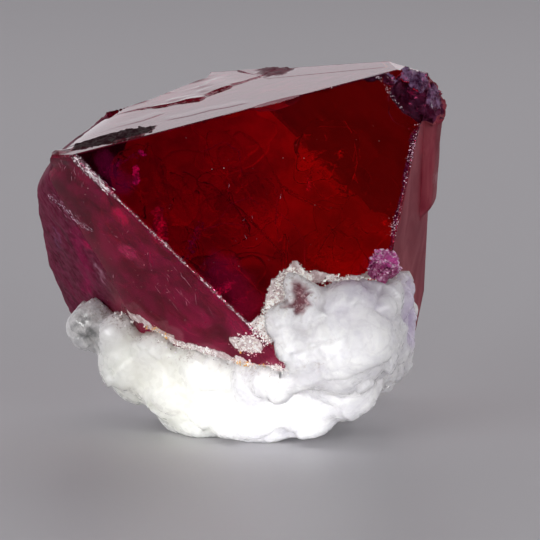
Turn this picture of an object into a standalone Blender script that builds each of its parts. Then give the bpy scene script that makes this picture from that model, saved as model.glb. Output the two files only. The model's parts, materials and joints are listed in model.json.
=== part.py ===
"""A red spinel octahedron standing in a lump of white marble calcite.

The crystal is one solid: an octahedron leaning over to the right, its left
side overgrown outwards, a ledge on its right side, its back left corner and
its upper right corner broken, and its foot ending in the rock.  The calcite
is one coarse-grained lump cut flat below, with a socket for the crystal.  A
small pink spinel grain sits on the calcite against the crystal's front.

Units are metres, +Z is up, and the front of the crystal looks towards -Y.
The origin is on the flat underside of the calcite, below the crystal.
"""

import math

import bmesh
import bpy
from mathutils import Euler, Matrix, Vector, noise

MM = 0.001

# The octahedron: edge length, centre and the way it leans.
EDGE = 18.0 * MM
INRADIUS = EDGE * math.sqrt(6.0) / 6.0
CORNER_REACH = EDGE / math.sqrt(2.0)
CENTRE = Vector((0.0, 0.0, 8.72)) * MM
LEAN = Euler((math.radians(142.19), math.radians(-46.23), math.radians(-17.53)), "XYZ").to_matrix()

# The eight octahedral faces, by the signs of their normals, with how far
# each has grown beyond the regular shape.
FACES = {
    "front": ((1, 1, 1), 0.0),
    "top": ((1, 1, -1), 0.0),
    "lower_left": ((-1, 1, 1), 0.0),
    "right": ((1, -1, 1), 0.0),
    "back": ((-1, -1, -1), 0.0),
    "under": ((-1, -1, 1), 0.0),
    "back_right": ((1, -1, -1), 0.40 * MM),
    "left": ((-1, 1, -1), 3.05 * MM),
}

# Extra planes as (outward normal, distance from the centre): the rounded left
# flank in five facets, the chipped upper right tip, the worn lower right
# corner and the broken foot.
FLANK = (
    (Vector((-0.733, -0.431, -0.526)), 7.59 * MM),
    (Vector((-0.850, 0.0, 0.530)), 10.72 * MM),
    (Vector((-0.620, 0.090, 0.740)), 9.55 * MM),
    (Vector((-0.952, -0.100, -0.291)), 10.20 * MM),
    (Vector((-0.720, 0.682, -0.124)), 10.20 * MM),
)
CHIPPED_TIP = (
    (Vector((0.82, 0.0, 0.57)), 11.50 * MM),
    (Vector((0.223, 0.0, 0.975)), 10.05 * MM),
)
WORN_CORNER = (Vector((0.66, 0.62, -0.424)), 11.6 * MM)
FOOT = (
    (Vector((-0.161, -0.098, -0.982)), 5.17 * MM),
    (Vector((0.33, -0.62, -0.71)), 9.00 * MM),
)

# Narrow worn edges: the two faces that meet and the depth worn off.
HALF_EDGE = EDGE / 2.0
WORN_EDGES = (
    ("front", "lower_left", 0.10 * MM),
    ("front", "right", 0.08 * MM),
    ("front", "top", 0.03 * MM),
)
LEFT_CORNER_WEAR = 0.10 * MM

# The ledge that stands out on the right side, towards the back.
LEDGE_GROWTH = 0.62 * MM
LEDGE_FRONT = (Vector((-0.245, -0.786, -0.568)), -3.4 * MM)
LEDGE_BELOW = (Vector((0.70, 0.0, -0.71)), 5.03 * MM)

# The thin growth layer lying along the back of the top face.
LAYER_RISE = 0.15 * MM
LAYER_LEFT = (Vector((-0.93, -0.33, -0.12)), -2.2 * MM)
LAYER_FRONT = (Vector((-0.569, -0.808, -0.155)), -3.42 * MM)

# How far the ledge and the layer stay back from the body's other faces.
STEP_BACK = 0.12 * MM

# Broken hollows as (centre, radii, frame, seed); the radii run along the
# front top edge, across the top face and out of it when the frame is the face.
CORNER_HOLLOW = (Vector((7.6, -4.35, 16.5)) * MM, Vector((1.65, 1.45, 1.80)) * MM, "upright", 3)
BACK_BREAK = (Vector((-8.2, 7.9, 16.3)) * MM, Vector((5.8, 5.9, 3.8)) * MM, "upright", 5)
TOP_PIT = (Vector((-6.76, -5.91, 14.62)) * MM, Vector((2.25, 0.85, 0.42)) * MM, "top", 7)
HOLLOWS = (CORNER_HOLLOW, BACK_BREAK, TOP_PIT)
HOLLOW_ROUGHNESS = 0.16
HOLLOW_DETAIL = 3

# The row of grains grown onto the broken upper right corner, (x, y, z, radius)
# in millimetres.
CORNER_GRAINS = (
    (7.05, -2.95, 17.15, 0.45), (7.60, -2.85, 16.85, 0.62), (8.10, -2.60, 16.30, 0.60),
    (8.35, -2.40, 15.65, 0.50), (6.25, -3.35, 17.05, 0.34),
)
CORNER_GRAIN_DETAIL = 2

# Small chips along the front edge of the top face, as (share of the edge from
# the left corner to the right, length, depth).
EDGE_CHIPS = (
    (0.44, 0.55 * MM, 0.22 * MM),
    (0.56, 1.30 * MM, 0.30 * MM),
    (0.69, 0.45 * MM, 0.20 * MM),
    (0.83, 0.60 * MM, 0.24 * MM),
)
CHIP_DETAIL = 2

# The seat in the rock.
GAP = 0.30 * MM
BLOCK = 34.0 * MM

# The calcite grains as (x, y, z, radius) in millimetres.
GRAINS_RIGHT_FRONT = (
    (4.1, -7.2, 5.6, 2.75), (4.3, -8.4, 7.1, 1.25), (5.6, -7.7, 6.9, 1.25),
    (2.4, -8.3, 7.3, 1.05), (1.2, -8.8, 6.5, 0.90), (1.7, -8.0, 8.2, 0.60),
    (1.9, -8.9, 5.3, 1.15), (6.5, -4.6, 4.7, 1.00), (3.9, -5.8, 3.3, 1.95),
    (5.3, -4.6, 3.9, 1.55), (2.3, -8.2, 4.4, 1.20), (6.1, -7.2, 7.7, 0.75),
)
GRAINS_RIGHT_EDGE = (
    (7.05, -3.3, 7.25, 0.75), (6.95, -2.5, 5.9, 0.90), (6.65, -5.1, 7.75, 0.62),
    (6.7, -5.9, 6.9, 0.90), (6.8, -1.0, 4.9, 1.00), (6.6, -3.7, 5.5, 1.10),
    (6.0, -2.3, 3.8, 1.30), (5.6, -3.0, 3.3, 1.50), (6.6, 0.6, 4.0, 1.10),
    (6.3, -6.3, 6.1, 0.95), (6.0, -5.5, 5.1, 1.20),
)
GRAINS_FRONT = (
    (0.3, -4.4, 2.3, 2.50), (2.1, -4.8, 2.1, 2.05), (-1.2, -4.2, 1.8, 1.85),
    (-2.7, -3.5, 1.3, 1.50), (-2.4, -4.9, 3.4, 1.50), (0.0, -6.2, 3.2, 1.35),
    (0.9, -7.7, 3.6, 1.15), (-3.8, -3.5, 2.6, 1.85), (-4.5, -3.9, 4.2, 1.35),
    (-3.6, -2.6, 1.0, 1.20), (-5.6, -2.2, 2.5, 1.30),
)
GRAINS_LEFT = (
    (-7.9, -1.6, 5.0, 1.20), (-6.7, -3.3, 4.9, 0.95), (-5.9, -2.6, 3.6, 1.75),
    (-5.4, -0.9, 3.2, 1.80), (-7.8, 0.4, 4.8, 1.25), (-6.2, 1.6, 3.9, 1.70),
    (-7.6, 2.6, 4.6, 1.30),
)
GRAINS_BEHIND = (
    (-3.4, 1.6, 2.7, 2.40), (0.0, 0.8, 2.1, 2.70), (-0.3, 4.2, 2.7, 2.40),
    (3.4, -0.2, 2.6, 2.50), (5.9, -1.2, 3.9, 1.90), (5.2, 2.4, 3.2, 2.10),
    (2.4, 4.2, 3.0, 2.30), (-3.2, 4.4, 3.4, 2.10), (3.6, -3.2, 2.7, 2.10),
    (-0.6, -1.6, 1.8, 2.50), (4.6, 4.8, 3.3, 1.80), (-5.4, 3.9, 4.3, 1.60),
    (1.2, 6.3, 3.6, 1.60), (6.6, 2.6, 3.6, 1.30), (-1.6, 6.2, 3.9, 1.50),
    (-4.0, 6.2, 4.6, 1.20), (3.8, 6.6, 3.4, 1.30), (6.4, 5.0, 3.2, 1.20),
    (-3.0, 2.9, 1.4, 1.90), (1.2, 3.0, 1.2, 2.20), (3.6, 2.2, 1.8, 1.90),
)
GRAIN_DETAIL = 3
GRAIN_ROUGHNESS = 0.10
REMESH_VOXEL = 0.30 * MM
CALCITE_FACES = 5600
BASE_BOX = Vector((40.0, 40.0, 10.0)) * MM
WELD = 0.0005 * MM
SHARP_ANGLE = math.radians(50.0)

# Noise on the rough balls: lumps across a ball, and the shift per seed.
NOISE_SCALE = 1.9
NOISE_STEP = Vector((3.1, 1.7, 2.3))

# The pink spinel grain on the calcite.
PINK_CENTRE = Vector((5.95, -7.62, 9.0)) * MM
PINK_RADII = Vector((0.78, 0.62, 0.70)) * MM
PINK_SEED = 21
PINK_DETAIL = 2
PINK_ROUGHNESS = 0.30


def clear_scene():
    """Remove whatever the new file holds."""
    for item in list(bpy.data.objects):
        bpy.data.objects.remove(item, do_unlink=True)


def new_collection(name):
    """Make a collection under the scene."""
    collection = bpy.data.collections.new(name)
    bpy.context.scene.collection.children.link(collection)
    return collection


def new_material(name, colour, roughness):
    """Make a plain Principled material."""
    material = bpy.data.materials.new(name)
    material.use_nodes = True
    shader = material.node_tree.nodes["Principled BSDF"]
    shader.inputs["Base Color"].default_value = (*colour, 1.0)
    shader.inputs["Roughness"].default_value = roughness
    shader.inputs["Metallic"].default_value = 0.0
    return material


def spinel_red():
    """Dark red glassy spinel."""
    return new_material("spinel_red", (0.16, 0.004, 0.018), 0.08)


def calcite_white():
    """White, faintly translucent marble calcite."""
    return new_material("calcite_white", (0.86, 0.86, 0.84), 0.45)


def spinel_pink():
    """Pink glassy spinel of the small grain."""
    return new_material("spinel_pink", (0.42, 0.06, 0.22), 0.15)


def new_object(name, bm, collection, material=None):
    """Turn a bmesh into a named object in a collection."""
    mesh = bpy.data.meshes.new(name)
    bm.to_mesh(mesh)
    bm.free()
    item = bpy.data.objects.new(name, mesh)
    collection.objects.link(item)
    if material is not None:
        mesh.materials.append(material)
    return item


def new_cutter(name, bm, cutters):
    """Turn a bmesh into a hidden cutter shown as wire."""
    item = new_object(name, bm, cutters)
    item.hide_render = True
    item.display_type = "WIRE"
    return item


def face_normal(name):
    """World normal of one octahedral face."""
    signs, _ = FACES[name]
    return (LEAN @ Vector(signs)).normalized()


def face_plane(name):
    """Normal and distance of one octahedral face."""
    _, growth = FACES[name]
    return face_normal(name), INRADIUS + growth


def edge_plane(first, second, depth):
    """Plane that wears the edge between two faces down by a depth."""
    normal = (face_normal(first) + face_normal(second)).normalized()
    return normal, HALF_EDGE - depth


def break_planes():
    """Flank, chips and foot: the planes that follow no octahedral face."""
    return [*FLANK, *CHIPPED_TIP, WORN_CORNER, *FOOT]


def body_planes():
    """Every flat plane that bounds the crystal's main body."""
    planes = [face_plane(name) for name in FACES]
    planes += [edge_plane(*edge) for edge in WORN_EDGES]
    planes.append((LEAN @ Vector((0.0, 1.0, 0.0)), CORNER_REACH - LEFT_CORNER_WEAR))
    return planes + break_planes()


def grown_planes(grown, growth):
    """Planes of a piece that stands proud of one face and back from the rest."""
    planes = []
    for name in FACES:
        normal, distance = face_plane(name)
        planes.append((normal, distance + (growth if name == grown else -STEP_BACK)))
    planes += [(normal, distance - STEP_BACK) for normal, distance in break_planes()]
    return planes


def ledge_planes():
    """Planes of the ledge on the right side, parallel to the crystal's own."""
    return [*grown_planes("right", LEDGE_GROWTH), LEDGE_FRONT, LEDGE_BELOW]


def layer_planes():
    """Planes of the thin growth layer along the back of the top face."""
    return [*grown_planes("top", LAYER_RISE), LAYER_LEFT, LAYER_FRONT]


def cut_block(planes, margin=0.0):
    """Cut a block about the crystal's centre down by planes, one at a time."""
    bm = bmesh.new()
    bmesh.ops.create_cube(bm, size=BLOCK, matrix=Matrix.Translation(CENTRE))
    for normal, distance in planes:
        unit = normal.normalized()
        cut = bmesh.ops.bisect_plane(
            bm,
            geom=bm.verts[:] + bm.edges[:] + bm.faces[:],
            plane_co=CENTRE + unit * (distance + margin),
            plane_no=unit,
            clear_outer=True,
        )
        rim = [part for part in cut["geom_cut"] if isinstance(part, bmesh.types.BMEdge)]
        if rim:
            bmesh.ops.contextual_create(bm, geom=rim)
    bmesh.ops.recalc_face_normals(bm, faces=bm.faces[:])
    return bm


def top_frame(outward):
    """Frame with X along the front top edge and Z along an outward direction."""
    along = (LEAN @ Vector((1.0, -1.0, 0.0))).normalized()
    across = outward.cross(along)
    return Matrix((along, across, outward)).transposed().to_4x4()


def rough_ball(centre, radii, seed, detail, roughness, frame=None):
    """Ellipsoid whose surface is pushed in and out by smooth noise."""
    bm = bmesh.new()
    bmesh.ops.create_icosphere(bm, subdivisions=detail, radius=1.0)
    shift = NOISE_STEP * seed
    for vert in bm.verts:
        vert.co *= 1.0 + roughness * noise.noise(vert.co * NOISE_SCALE + shift)
    place = Matrix.Translation(centre)
    if frame is not None:
        place @= frame
    place @= Matrix.Diagonal((*radii, 1.0))
    bmesh.ops.transform(bm, matrix=place, verts=bm.verts[:])
    return bm


def grain_ball(grain, seed, detail):
    """One rough round grain given as x, y, z and radius in millimetres."""
    x, y, z, radius = grain
    size = Vector((radius, radius, radius)) * MM
    return rough_ball(Vector((x, y, z)) * MM, size, seed, detail, GRAIN_ROUGHNESS)


def boolean(target, tool, operation):
    """Join a tool to the target or cut it away, and keep the result."""
    modifier = target.modifiers.new(tool.name, "BOOLEAN")
    modifier.operation = operation
    modifier.solver = "EXACT"
    modifier.object = tool
    apply_modifiers(target)


def apply_modifiers(item):
    """Replace an object's mesh by what its modifiers make of it."""
    bpy.context.view_layer.update()
    graph = bpy.context.evaluated_depsgraph_get()
    mesh = bpy.data.meshes.new_from_object(item.evaluated_get(graph))
    item.modifiers.clear()
    item.data = mesh


def shells(bm):
    """Group a mesh's faces into its separate closed shells."""
    left = set(bm.faces)
    groups = []
    while left:
        stack = [left.pop()]
        group = []
        while stack:
            face = stack.pop()
            group.append(face)
            for edge in face.edges:
                for other in edge.link_faces:
                    if other in left:
                        left.remove(other)
                        stack.append(other)
        groups.append(group)
    return groups


def keep_largest_shell(item):
    """Drop crumbs that a cut left loose, keep the main body, and triangulate it."""
    bm = bmesh.new()
    bm.from_mesh(item.data)
    groups = sorted(shells(bm), key=len, reverse=True)
    crumbs = [face for group in groups[1:] for face in group]
    if crumbs:
        bmesh.ops.delete(bm, geom=crumbs, context="FACES")
    bmesh.ops.remove_doubles(bm, verts=bm.verts[:], dist=WELD)
    bmesh.ops.dissolve_degenerate(bm, edges=bm.edges[:], dist=WELD)
    bmesh.ops.triangulate(bm, faces=bm.faces[:])
    bm.to_mesh(item.data)
    bm.free()


def edge_chip(share, length, depth):
    """Low oval bite out of the front edge of the top face."""
    left = CENTRE + LEAN @ Vector((0.0, CORNER_REACH, 0.0))
    right = CENTRE + LEAN @ Vector((CORNER_REACH, 0.0, 0.0))
    outward = (face_normal("front") + face_normal("top")).normalized()
    bm = bmesh.new()
    bmesh.ops.create_icosphere(bm, subdivisions=CHIP_DETAIL, radius=1.0)
    place = Matrix.Translation(left.lerp(right, share)) @ top_frame(outward)
    place @= Matrix.Diagonal((length, depth * 2.0, depth, 1.0))
    bmesh.ops.transform(bm, matrix=place, verts=bm.verts[:])
    return bm


def hollow(centre, radii, frame, seed):
    """Rough oval hollow, upright or lying along the top face."""
    turn = top_frame(face_normal("top")) if frame == "top" else None
    return rough_ball(centre, radii, seed, HOLLOW_DETAIL, HOLLOW_ROUGHNESS, turn)


def build_crystal(parts, cutters):
    """The spinel crystal: body, ledge and layer joined, then its breaks."""
    crystal = new_object("spinel_crystal", cut_block(body_planes()), parts, spinel_red())
    additions = {"right_ledge": cut_block(ledge_planes()), "top_layer": cut_block(layer_planes())}
    for name, bm in additions.items():
        boolean(crystal, new_cutter(name, bm, cutters), "UNION")
    for number, shape in enumerate(HOLLOWS):
        boolean(crystal, new_cutter(f"hollow_{number}", hollow(*shape), cutters), "DIFFERENCE")
    for number, chip in enumerate(EDGE_CHIPS):
        boolean(crystal, new_cutter(f"chip_{number}", edge_chip(*chip), cutters), "DIFFERENCE")
    for number, grain in enumerate(CORNER_GRAINS):
        ball = grain_ball(grain, number, CORNER_GRAIN_DETAIL)
        boolean(crystal, new_cutter(f"corner_grain_{number}", ball, cutters), "UNION")
    keep_largest_shell(crystal)


def build_pink_grain(parts):
    """The small pink spinel grain, a rough lump."""
    bm = rough_ball(PINK_CENTRE, PINK_RADII, PINK_SEED, PINK_DETAIL, PINK_ROUGHNESS)
    grain = new_object("pink_spinel_grain", bm, parts, spinel_pink())
    grain.data.shade_smooth()


def calcite_lump():
    """All calcite grains as overlapping rough balls in one mesh."""
    bm = bmesh.new()
    grains = GRAINS_RIGHT_FRONT + GRAINS_RIGHT_EDGE + GRAINS_FRONT + GRAINS_LEFT + GRAINS_BEHIND
    for seed, grain in enumerate(grains):
        ball = grain_ball(grain, seed, GRAIN_DETAIL)
        mesh = bpy.data.meshes.new("grain")
        ball.to_mesh(mesh)
        ball.free()
        bm.from_mesh(mesh)
        bpy.data.meshes.remove(mesh)
    return bm


def fuse_and_thin(item):
    """Fuse overlapping balls into one skin and thin it to its face budget."""
    fuse = item.modifiers.new("fuse", "REMESH")
    fuse.mode = "VOXEL"
    fuse.voxel_size = REMESH_VOXEL
    apply_modifiers(item)
    quads = len(item.data.polygons)
    thin = item.modifiers.new("thin", "DECIMATE")
    thin.ratio = min(1.0, CALCITE_FACES / (2.0 * quads))
    apply_modifiers(item)


def build_calcite(parts, cutters):
    """The calcite lump, with its socket and its flat underside."""
    calcite = new_object("calcite_matrix", calcite_lump(), parts, calcite_white())
    fuse_and_thin(calcite)
    socket = new_cutter("crystal_socket", cut_block(body_planes(), GAP), cutters)
    boolean(calcite, socket, "DIFFERENCE")
    seat_radii = PINK_RADII + Vector((GAP, GAP, GAP))
    seat = rough_ball(PINK_CENTRE, seat_radii, PINK_SEED, PINK_DETAIL, PINK_ROUGHNESS)
    boolean(calcite, new_cutter("grain_seat", seat, cutters), "DIFFERENCE")
    bm = bmesh.new()
    below = Matrix.Translation((0.0, 0.0, -BASE_BOX.z / 2.0)) @ Matrix.Diagonal((*BASE_BOX, 1.0))
    bmesh.ops.create_cube(bm, size=1.0, matrix=below)
    boolean(calcite, new_cutter("base_cut", bm, cutters), "DIFFERENCE")
    keep_largest_shell(calcite)
    calcite.data.shade_smooth()
    calcite.data.set_sharp_from_angle(angle=SHARP_ANGLE)


def main():
    """Build the whole specimen."""
    clear_scene()
    parts = new_collection("spinel_on_calcite")
    cutters = new_collection("cutters")
    build_crystal(parts, cutters)
    build_pink_grain(parts)
    build_calcite(parts, cutters)


main()
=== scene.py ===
"""Spinel octahedron on marble calcite: the visual model, in metres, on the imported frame."""

import itertools
import json
import math
from types import SimpleNamespace

import bmesh
import bpy
import numpy as np
from mathutils import Euler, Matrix, Vector, geometry, kdtree

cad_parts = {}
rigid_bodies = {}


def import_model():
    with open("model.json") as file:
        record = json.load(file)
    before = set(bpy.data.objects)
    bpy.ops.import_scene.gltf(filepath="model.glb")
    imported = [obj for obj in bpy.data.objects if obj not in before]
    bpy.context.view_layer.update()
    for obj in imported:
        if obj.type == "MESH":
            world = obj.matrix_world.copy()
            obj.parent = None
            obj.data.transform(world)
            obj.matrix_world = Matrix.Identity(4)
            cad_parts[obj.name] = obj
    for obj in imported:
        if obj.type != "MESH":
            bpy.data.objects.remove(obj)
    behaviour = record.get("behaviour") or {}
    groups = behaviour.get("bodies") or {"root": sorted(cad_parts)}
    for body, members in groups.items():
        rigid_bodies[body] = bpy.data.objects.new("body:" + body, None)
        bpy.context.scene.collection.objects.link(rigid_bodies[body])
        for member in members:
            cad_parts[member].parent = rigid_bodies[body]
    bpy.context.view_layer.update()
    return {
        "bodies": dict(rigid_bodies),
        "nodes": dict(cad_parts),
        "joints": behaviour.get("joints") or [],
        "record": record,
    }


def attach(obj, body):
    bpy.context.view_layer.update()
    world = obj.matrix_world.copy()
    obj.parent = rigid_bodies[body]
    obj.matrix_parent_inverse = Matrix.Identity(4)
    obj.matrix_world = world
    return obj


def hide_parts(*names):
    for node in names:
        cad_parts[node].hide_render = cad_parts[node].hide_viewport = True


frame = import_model()

MM = 0.001
COS_60, SIN_60 = 0.5, 0.866

# ---------------------------------------------------------------- the octahedron's own geometry
EDGE_MM = 18.0
EDGE = EDGE_MM * MM
INRADIUS = EDGE * math.sqrt(6.0) / 6.0
REACH = EDGE / math.sqrt(2.0)
CENTRE = np.array((0.0, 0.0, 8.72)) * MM
LEAN = np.array(Euler((math.radians(142.19), math.radians(-46.23), math.radians(-17.53)), "XYZ").to_matrix())
# The eight faces: their signs in the crystal's own axes, and growth beyond the regular form.
GROWTH = {
    "front": ((1, 1, 1), 0.0),
    "top": ((1, 1, -1), 0.0),
    "lower_left": ((-1, 1, 1), 0.0),
    "right": ((1, -1, 1), 0.0),
    "back": ((-1, -1, -1), 0.0),
    "under": ((-1, -1, 1), 0.0),
    "back_right": ((1, -1, -1), 0.40 * MM),
    "left": ((-1, 1, -1), 3.05 * MM),
}
FACE = {}
for _name, (_signs, _growth) in GROWTH.items():
    _n = LEAN @ np.array(_signs, float)
    FACE[_name] = (_n / np.linalg.norm(_n), INRADIUS + _growth)
CORNER_A = CENTRE + LEAN @ np.array((0.0, REACH, 0.0))  # upper left, front
CORNER_B = CENTRE + LEAN @ np.array((REACH, 0.0, 0.0))  # upper right, front
CORNER_C = CENTRE + LEAN @ np.array((0.0, 0.0, REACH))  # lower right, front
# Other planes of the body: direction and distance from the centre, the left flank's five first.
EXTRA = (
    ((-0.733, -0.431, -0.526), 7.59 * MM),
    ((-0.850, 0.0, 0.530), 10.72 * MM),
    ((-0.620, 0.090, 0.740), 9.55 * MM),
    ((-0.952, -0.100, -0.291), 10.20 * MM),
    ((-0.720, 0.682, -0.124), 10.20 * MM),
    ((0.82, 0.0, 0.57), 11.50 * MM),
    ((0.223, 0.0, 0.975), 10.05 * MM),
    ((0.66, 0.62, -0.424), 11.6 * MM),
    ((-0.161, -0.098, -0.982), 5.17 * MM),
    ((0.33, -0.62, -0.71), 9.00 * MM),
)
HULL_N = np.array([FACE[k][0] for k in FACE] + [np.array(n) / np.linalg.norm(n) for n, _ in EXTRA])
HULL_D = np.array([FACE[k][1] for k in FACE] + [d for _, d in EXTRA])
FLANK = [*range(len(FACE), len(FACE) + 5), list(FACE).index("left")]  # planes of the left flank
# Faces that the photo doesn't show.
HIDDEN = ("back", "back_right", "left", "under")
FINEST = 0.075 * MM  # spacing of the crystal's points at its edges
LEVELS = (1, 2, 4)  # the spacings in use, in multiples of the finest
SLIVER = 1e-4  # a triangle's least size, as a share of its longer side squared
CORNER_RIGHT = 5.6 * MM  # the broken corner's grains and hollow lie to the right of this
CORNER_NEAR = 5.0 * MM  # right of this the broken corner has its own colour and no worn edges
CRYSTAL_SHARP = math.radians(16.0)

# ---------------------------------------------------------------- the photo's camera
AIM = Vector((0.667, 0.0, 7.4)) * MM
CAMERA_DISTANCE = 149.71 * MM
CAMERA_ELEVATION = math.radians(10.0)
CAMERA_FOV = math.radians(10.0)
TO_CAMERA = np.array((0.0, -math.cos(CAMERA_ELEVATION), math.sin(CAMERA_ELEVATION)))
# The studio's brightness on the camera's side and behind the specimen.
WORLD_FRONT, WORLD_BEHIND = 0.33, 0.88


# ---------------------------------------------------------------- noise
def _hash(ix, iy, iz, seed):
    """Pseudo-random 0..1 values for integer lattice points."""
    h = (ix * 374761393 + iy * 668265263 + iz * 2147483647 + seed * 974634777) & 0xFFFFFFFF
    h = ((h ^ (h >> 13)) * 1274126177) & 0xFFFFFFFF
    h = ((h ^ (h >> 16)) * 2246822519) & 0xFFFFFFFF
    return ((h ^ (h >> 15)) & 0xFFFFFF) / float(0xFFFFFF)


def smooth_noise(points, size, seed=0):
    """Smooth value noise, about -1..1, with lumps of the given size."""
    q = points / size + 1000.0
    base = np.floor(q).astype(np.int64)
    f = q - base
    f = f * f * f * (f * (f * 6.0 - 15.0) + 10.0)
    total = np.zeros(len(points))
    for corner in itertools.product((0, 1), repeat=3):
        x, y, z = np.where(corner, f, 1.0 - f).T
        total += x * y * z * _hash(*(base + corner).T, seed)
    return total * 2.0 - 1.0


def fractal_noise(points, size, octaves, seed=0, gain=0.5):
    """Several layers of smooth noise, the largest lumps of a size in millimetres."""
    total = np.zeros(len(points))
    amount, norm = 1.0, 0.0
    for k in range(octaves):
        total += amount * smooth_noise(points, size * MM / 2.0**k, seed + 17 * k)
        norm += amount
        amount *= gain
    return total / norm


def drift(points, size, octaves, seed, gain=0.5, axes=2):
    """Fractal noise along several axes at once."""
    return np.stack([fractal_noise(points, size, octaves, seed + k, gain) for k in range(axes)], 1)


def cells(points, size, seed=0):
    """Jittered cells of a size in millimetres.

    Gives the distances to the nearest and second nearest cell point, a random
    value per cell, and each point's offset from its cell point.
    """
    size = size * MM
    q = points / size + 1000.0
    base = np.floor(q).astype(np.int64)
    best, second = np.full((2, len(points)), 9.0)
    value, offset = np.zeros(len(points)), np.zeros((len(points), 3))
    for step in itertools.product((-1, 0, 1), repeat=3):
        cell = (base + step).T
        rel = q - np.stack([cell[k] + _hash(*cell, seed + k) for k in range(3)], 1)
        gap = np.sqrt((rel**2).sum(1))
        near = gap < best
        second = np.where(near, best, np.minimum(second, gap))
        best = np.where(near, gap, best)
        value = np.where(near, _hash(*cell, seed + 3), value)
        offset = np.where(near[:, None], rel, offset)
    return best * size, second * size, value, offset * size


def facets(points, size, seed, tilt, groove=0.0, width=1.0, turn=0.0):
    """Height of a surface broken into tilted facets, with grooves of a depth and width in millimetres."""
    near, second, value, rel = cells(points, size, seed)
    ways = np.stack([np.sin(value * 40.0), np.cos(value * 57.0), np.sin(value * 91.0 + turn)], 1)
    return (rel * ways).sum(1) * tilt - groove * MM * (1.0 - fade(second - near, 0.0, width))


def ramp(x, low, high):
    """0 below low, 1 above high, smooth between."""
    t = np.clip((x - low) / (high - low), 0.0, 1.0)
    return t * t * (3.0 - 2.0 * t)


def fade(x, low, high):
    """The same for a distance, with the limits in millimetres."""
    return ramp(x, low * MM, high * MM)


# ---------------------------------------------------------------- mesh helpers
def read(values, field, width, kind=float):
    """One field of a Blender collection as rows of an array."""
    out = np.empty(len(values) * width, kind)
    values.foreach_get(field, out)
    return out.reshape(-1, width)


def coords(mesh):
    """Vertex positions as an array."""
    return read(mesh.vertices, "co", 3)


def set_coords(mesh, points):
    """Write vertex positions back."""
    mesh.vertices.foreach_set("co", np.ascontiguousarray(points, float).ravel())
    mesh.update()


def vertex_normals(mesh):
    """Vertex normals as an array."""
    return read(mesh.vertex_normals, "vector", 3)


def relax(points, mesh, weight, rounds):
    """Pull each point towards its neighbours' mean, as strongly as its weight."""
    first, second = read(mesh.edges, "vertices", 2, int).T
    count = np.bincount(np.r_[first, second], minlength=len(points)).astype(float)
    for _ in range(rounds):
        total = np.zeros_like(points)
        for axis in range(3):
            total[:, axis] = np.bincount(first, points[second, axis], len(points))
            total[:, axis] += np.bincount(second, points[first, axis], len(points))
        points = points + weight[:, None] * (total / count[:, None] - points)
    return points


def add_attribute(mesh, name, values):
    """Store one number per vertex for the material."""
    layer = mesh.attributes.new(name, "FLOAT", "POINT")
    layer.data.foreach_set("value", np.ascontiguousarray(values, np.float32))


def new_object(name, data, material=None):
    """Link an object into the scene."""
    item = bpy.data.objects.new(name, data)
    bpy.context.scene.collection.objects.link(item)
    if material is not None:
        data.materials.append(material)
    return item


def search_tree(points):
    """A tree for finding the nearest of many points."""
    tree = kdtree.KDTree(len(points))
    for number, point in enumerate(points):
        tree.insert(point, number)
    tree.balance()
    return tree


def node_bmesh(name):
    """The CAD node's mesh as a welded bmesh."""
    bm = bmesh.new()
    bm.from_mesh(frame["nodes"][name].data)
    bm.transform(frame["nodes"][name].matrix_world)
    bmesh.ops.remove_doubles(bm, verts=bm.verts[:], dist=1e-7)
    return bm


def add_piece(name, mesh, material, node=None):
    """A piece of the visual model: it rides on the root body, and its CAD node is hidden if one is given."""
    item = new_object(name, mesh, material)
    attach(item, "root")
    if node:
        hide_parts(node)


# ---------------------------------------------------------------- fine mesh of the flat-faced crystal
def plane_groups(bm, limit=math.radians(0.05)):
    """Group faces that lie in one plane."""
    left = set(bm.faces)
    groups = []
    for seed in sorted(bm.faces, key=lambda f: -f.calc_area()):
        if seed not in left:
            continue
        left.remove(seed)
        stack, group = [seed], []
        while stack:
            face = stack.pop()
            group.append(face)
            for edge in face.edges:
                for other in edge.link_faces:
                    if other in left and seed.normal.angle(other.normal, 0.0) < limit:
                        left.remove(other)
                        stack.append(other)
        groups.append(group)
    return groups


def level_at(gap):
    """How many times the finest spacing the points take, by distance from the nearest edge of a face."""
    return np.where(gap < 0.30 * MM, 1, np.where(gap < 0.80 * MM, 2, 4))


def grid_points(low, high, spacing):
    """Points of a triangular grid over a rectangle."""
    rows = int((high[1] - low[1]) / (spacing * SIN_60)) + 1
    columns = int((high[0] - low[0]) / spacing) + 2
    row, column = np.meshgrid(np.arange(1, rows), np.arange(columns), indexing="ij")
    x = low[0] + (column + 0.5 * (row % 2)) * spacing
    y = low[1] + row * spacing * SIN_60
    return np.stack([x.ravel(), y.ravel()], 1)


def nearest_gap(points, tree):
    """Distance from each flat point to the nearest point of a tree."""
    return np.array([tree.find((x, y, 0.0))[2] for x, y in points])


def inside_triangles(points, triangles):
    """Whether each flat point lies in any of the flat triangles."""
    x, y = points.T
    hit = np.zeros(len(points), bool)
    for a, b, c in triangles:
        pairs = ((a, b), (b, c), (c, a))
        sides = np.array([(q[0] - p[0]) * (y - p[1]) - (q[1] - p[1]) * (x - p[0]) for p, q in pairs])
        hit |= (sides >= 0).all(0) | (sides <= 0).all(0)
    return hit


def inner_points(rim, marks, corners, coarsest):
    """Grid points inside a flat face, finest near its rim and near marks on it."""
    tree = search_tree([p.to_3d() for p in rim + marks])
    close = search_tree([p.to_3d() for p in rim])
    found = []
    for level in LEVELS:
        step = FINEST * level
        extra = grid_points(np.min(rim, 0), np.max(rim, 0), step)
        want = np.minimum(level_at(nearest_gap(extra, tree)), coarsest)
        extra = extra[(want == level) & (nearest_gap(extra, close) > step * 0.6)]
        found += [Vector(p) for p in extra[inside_triangles(extra, corners)]]
    return found


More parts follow.
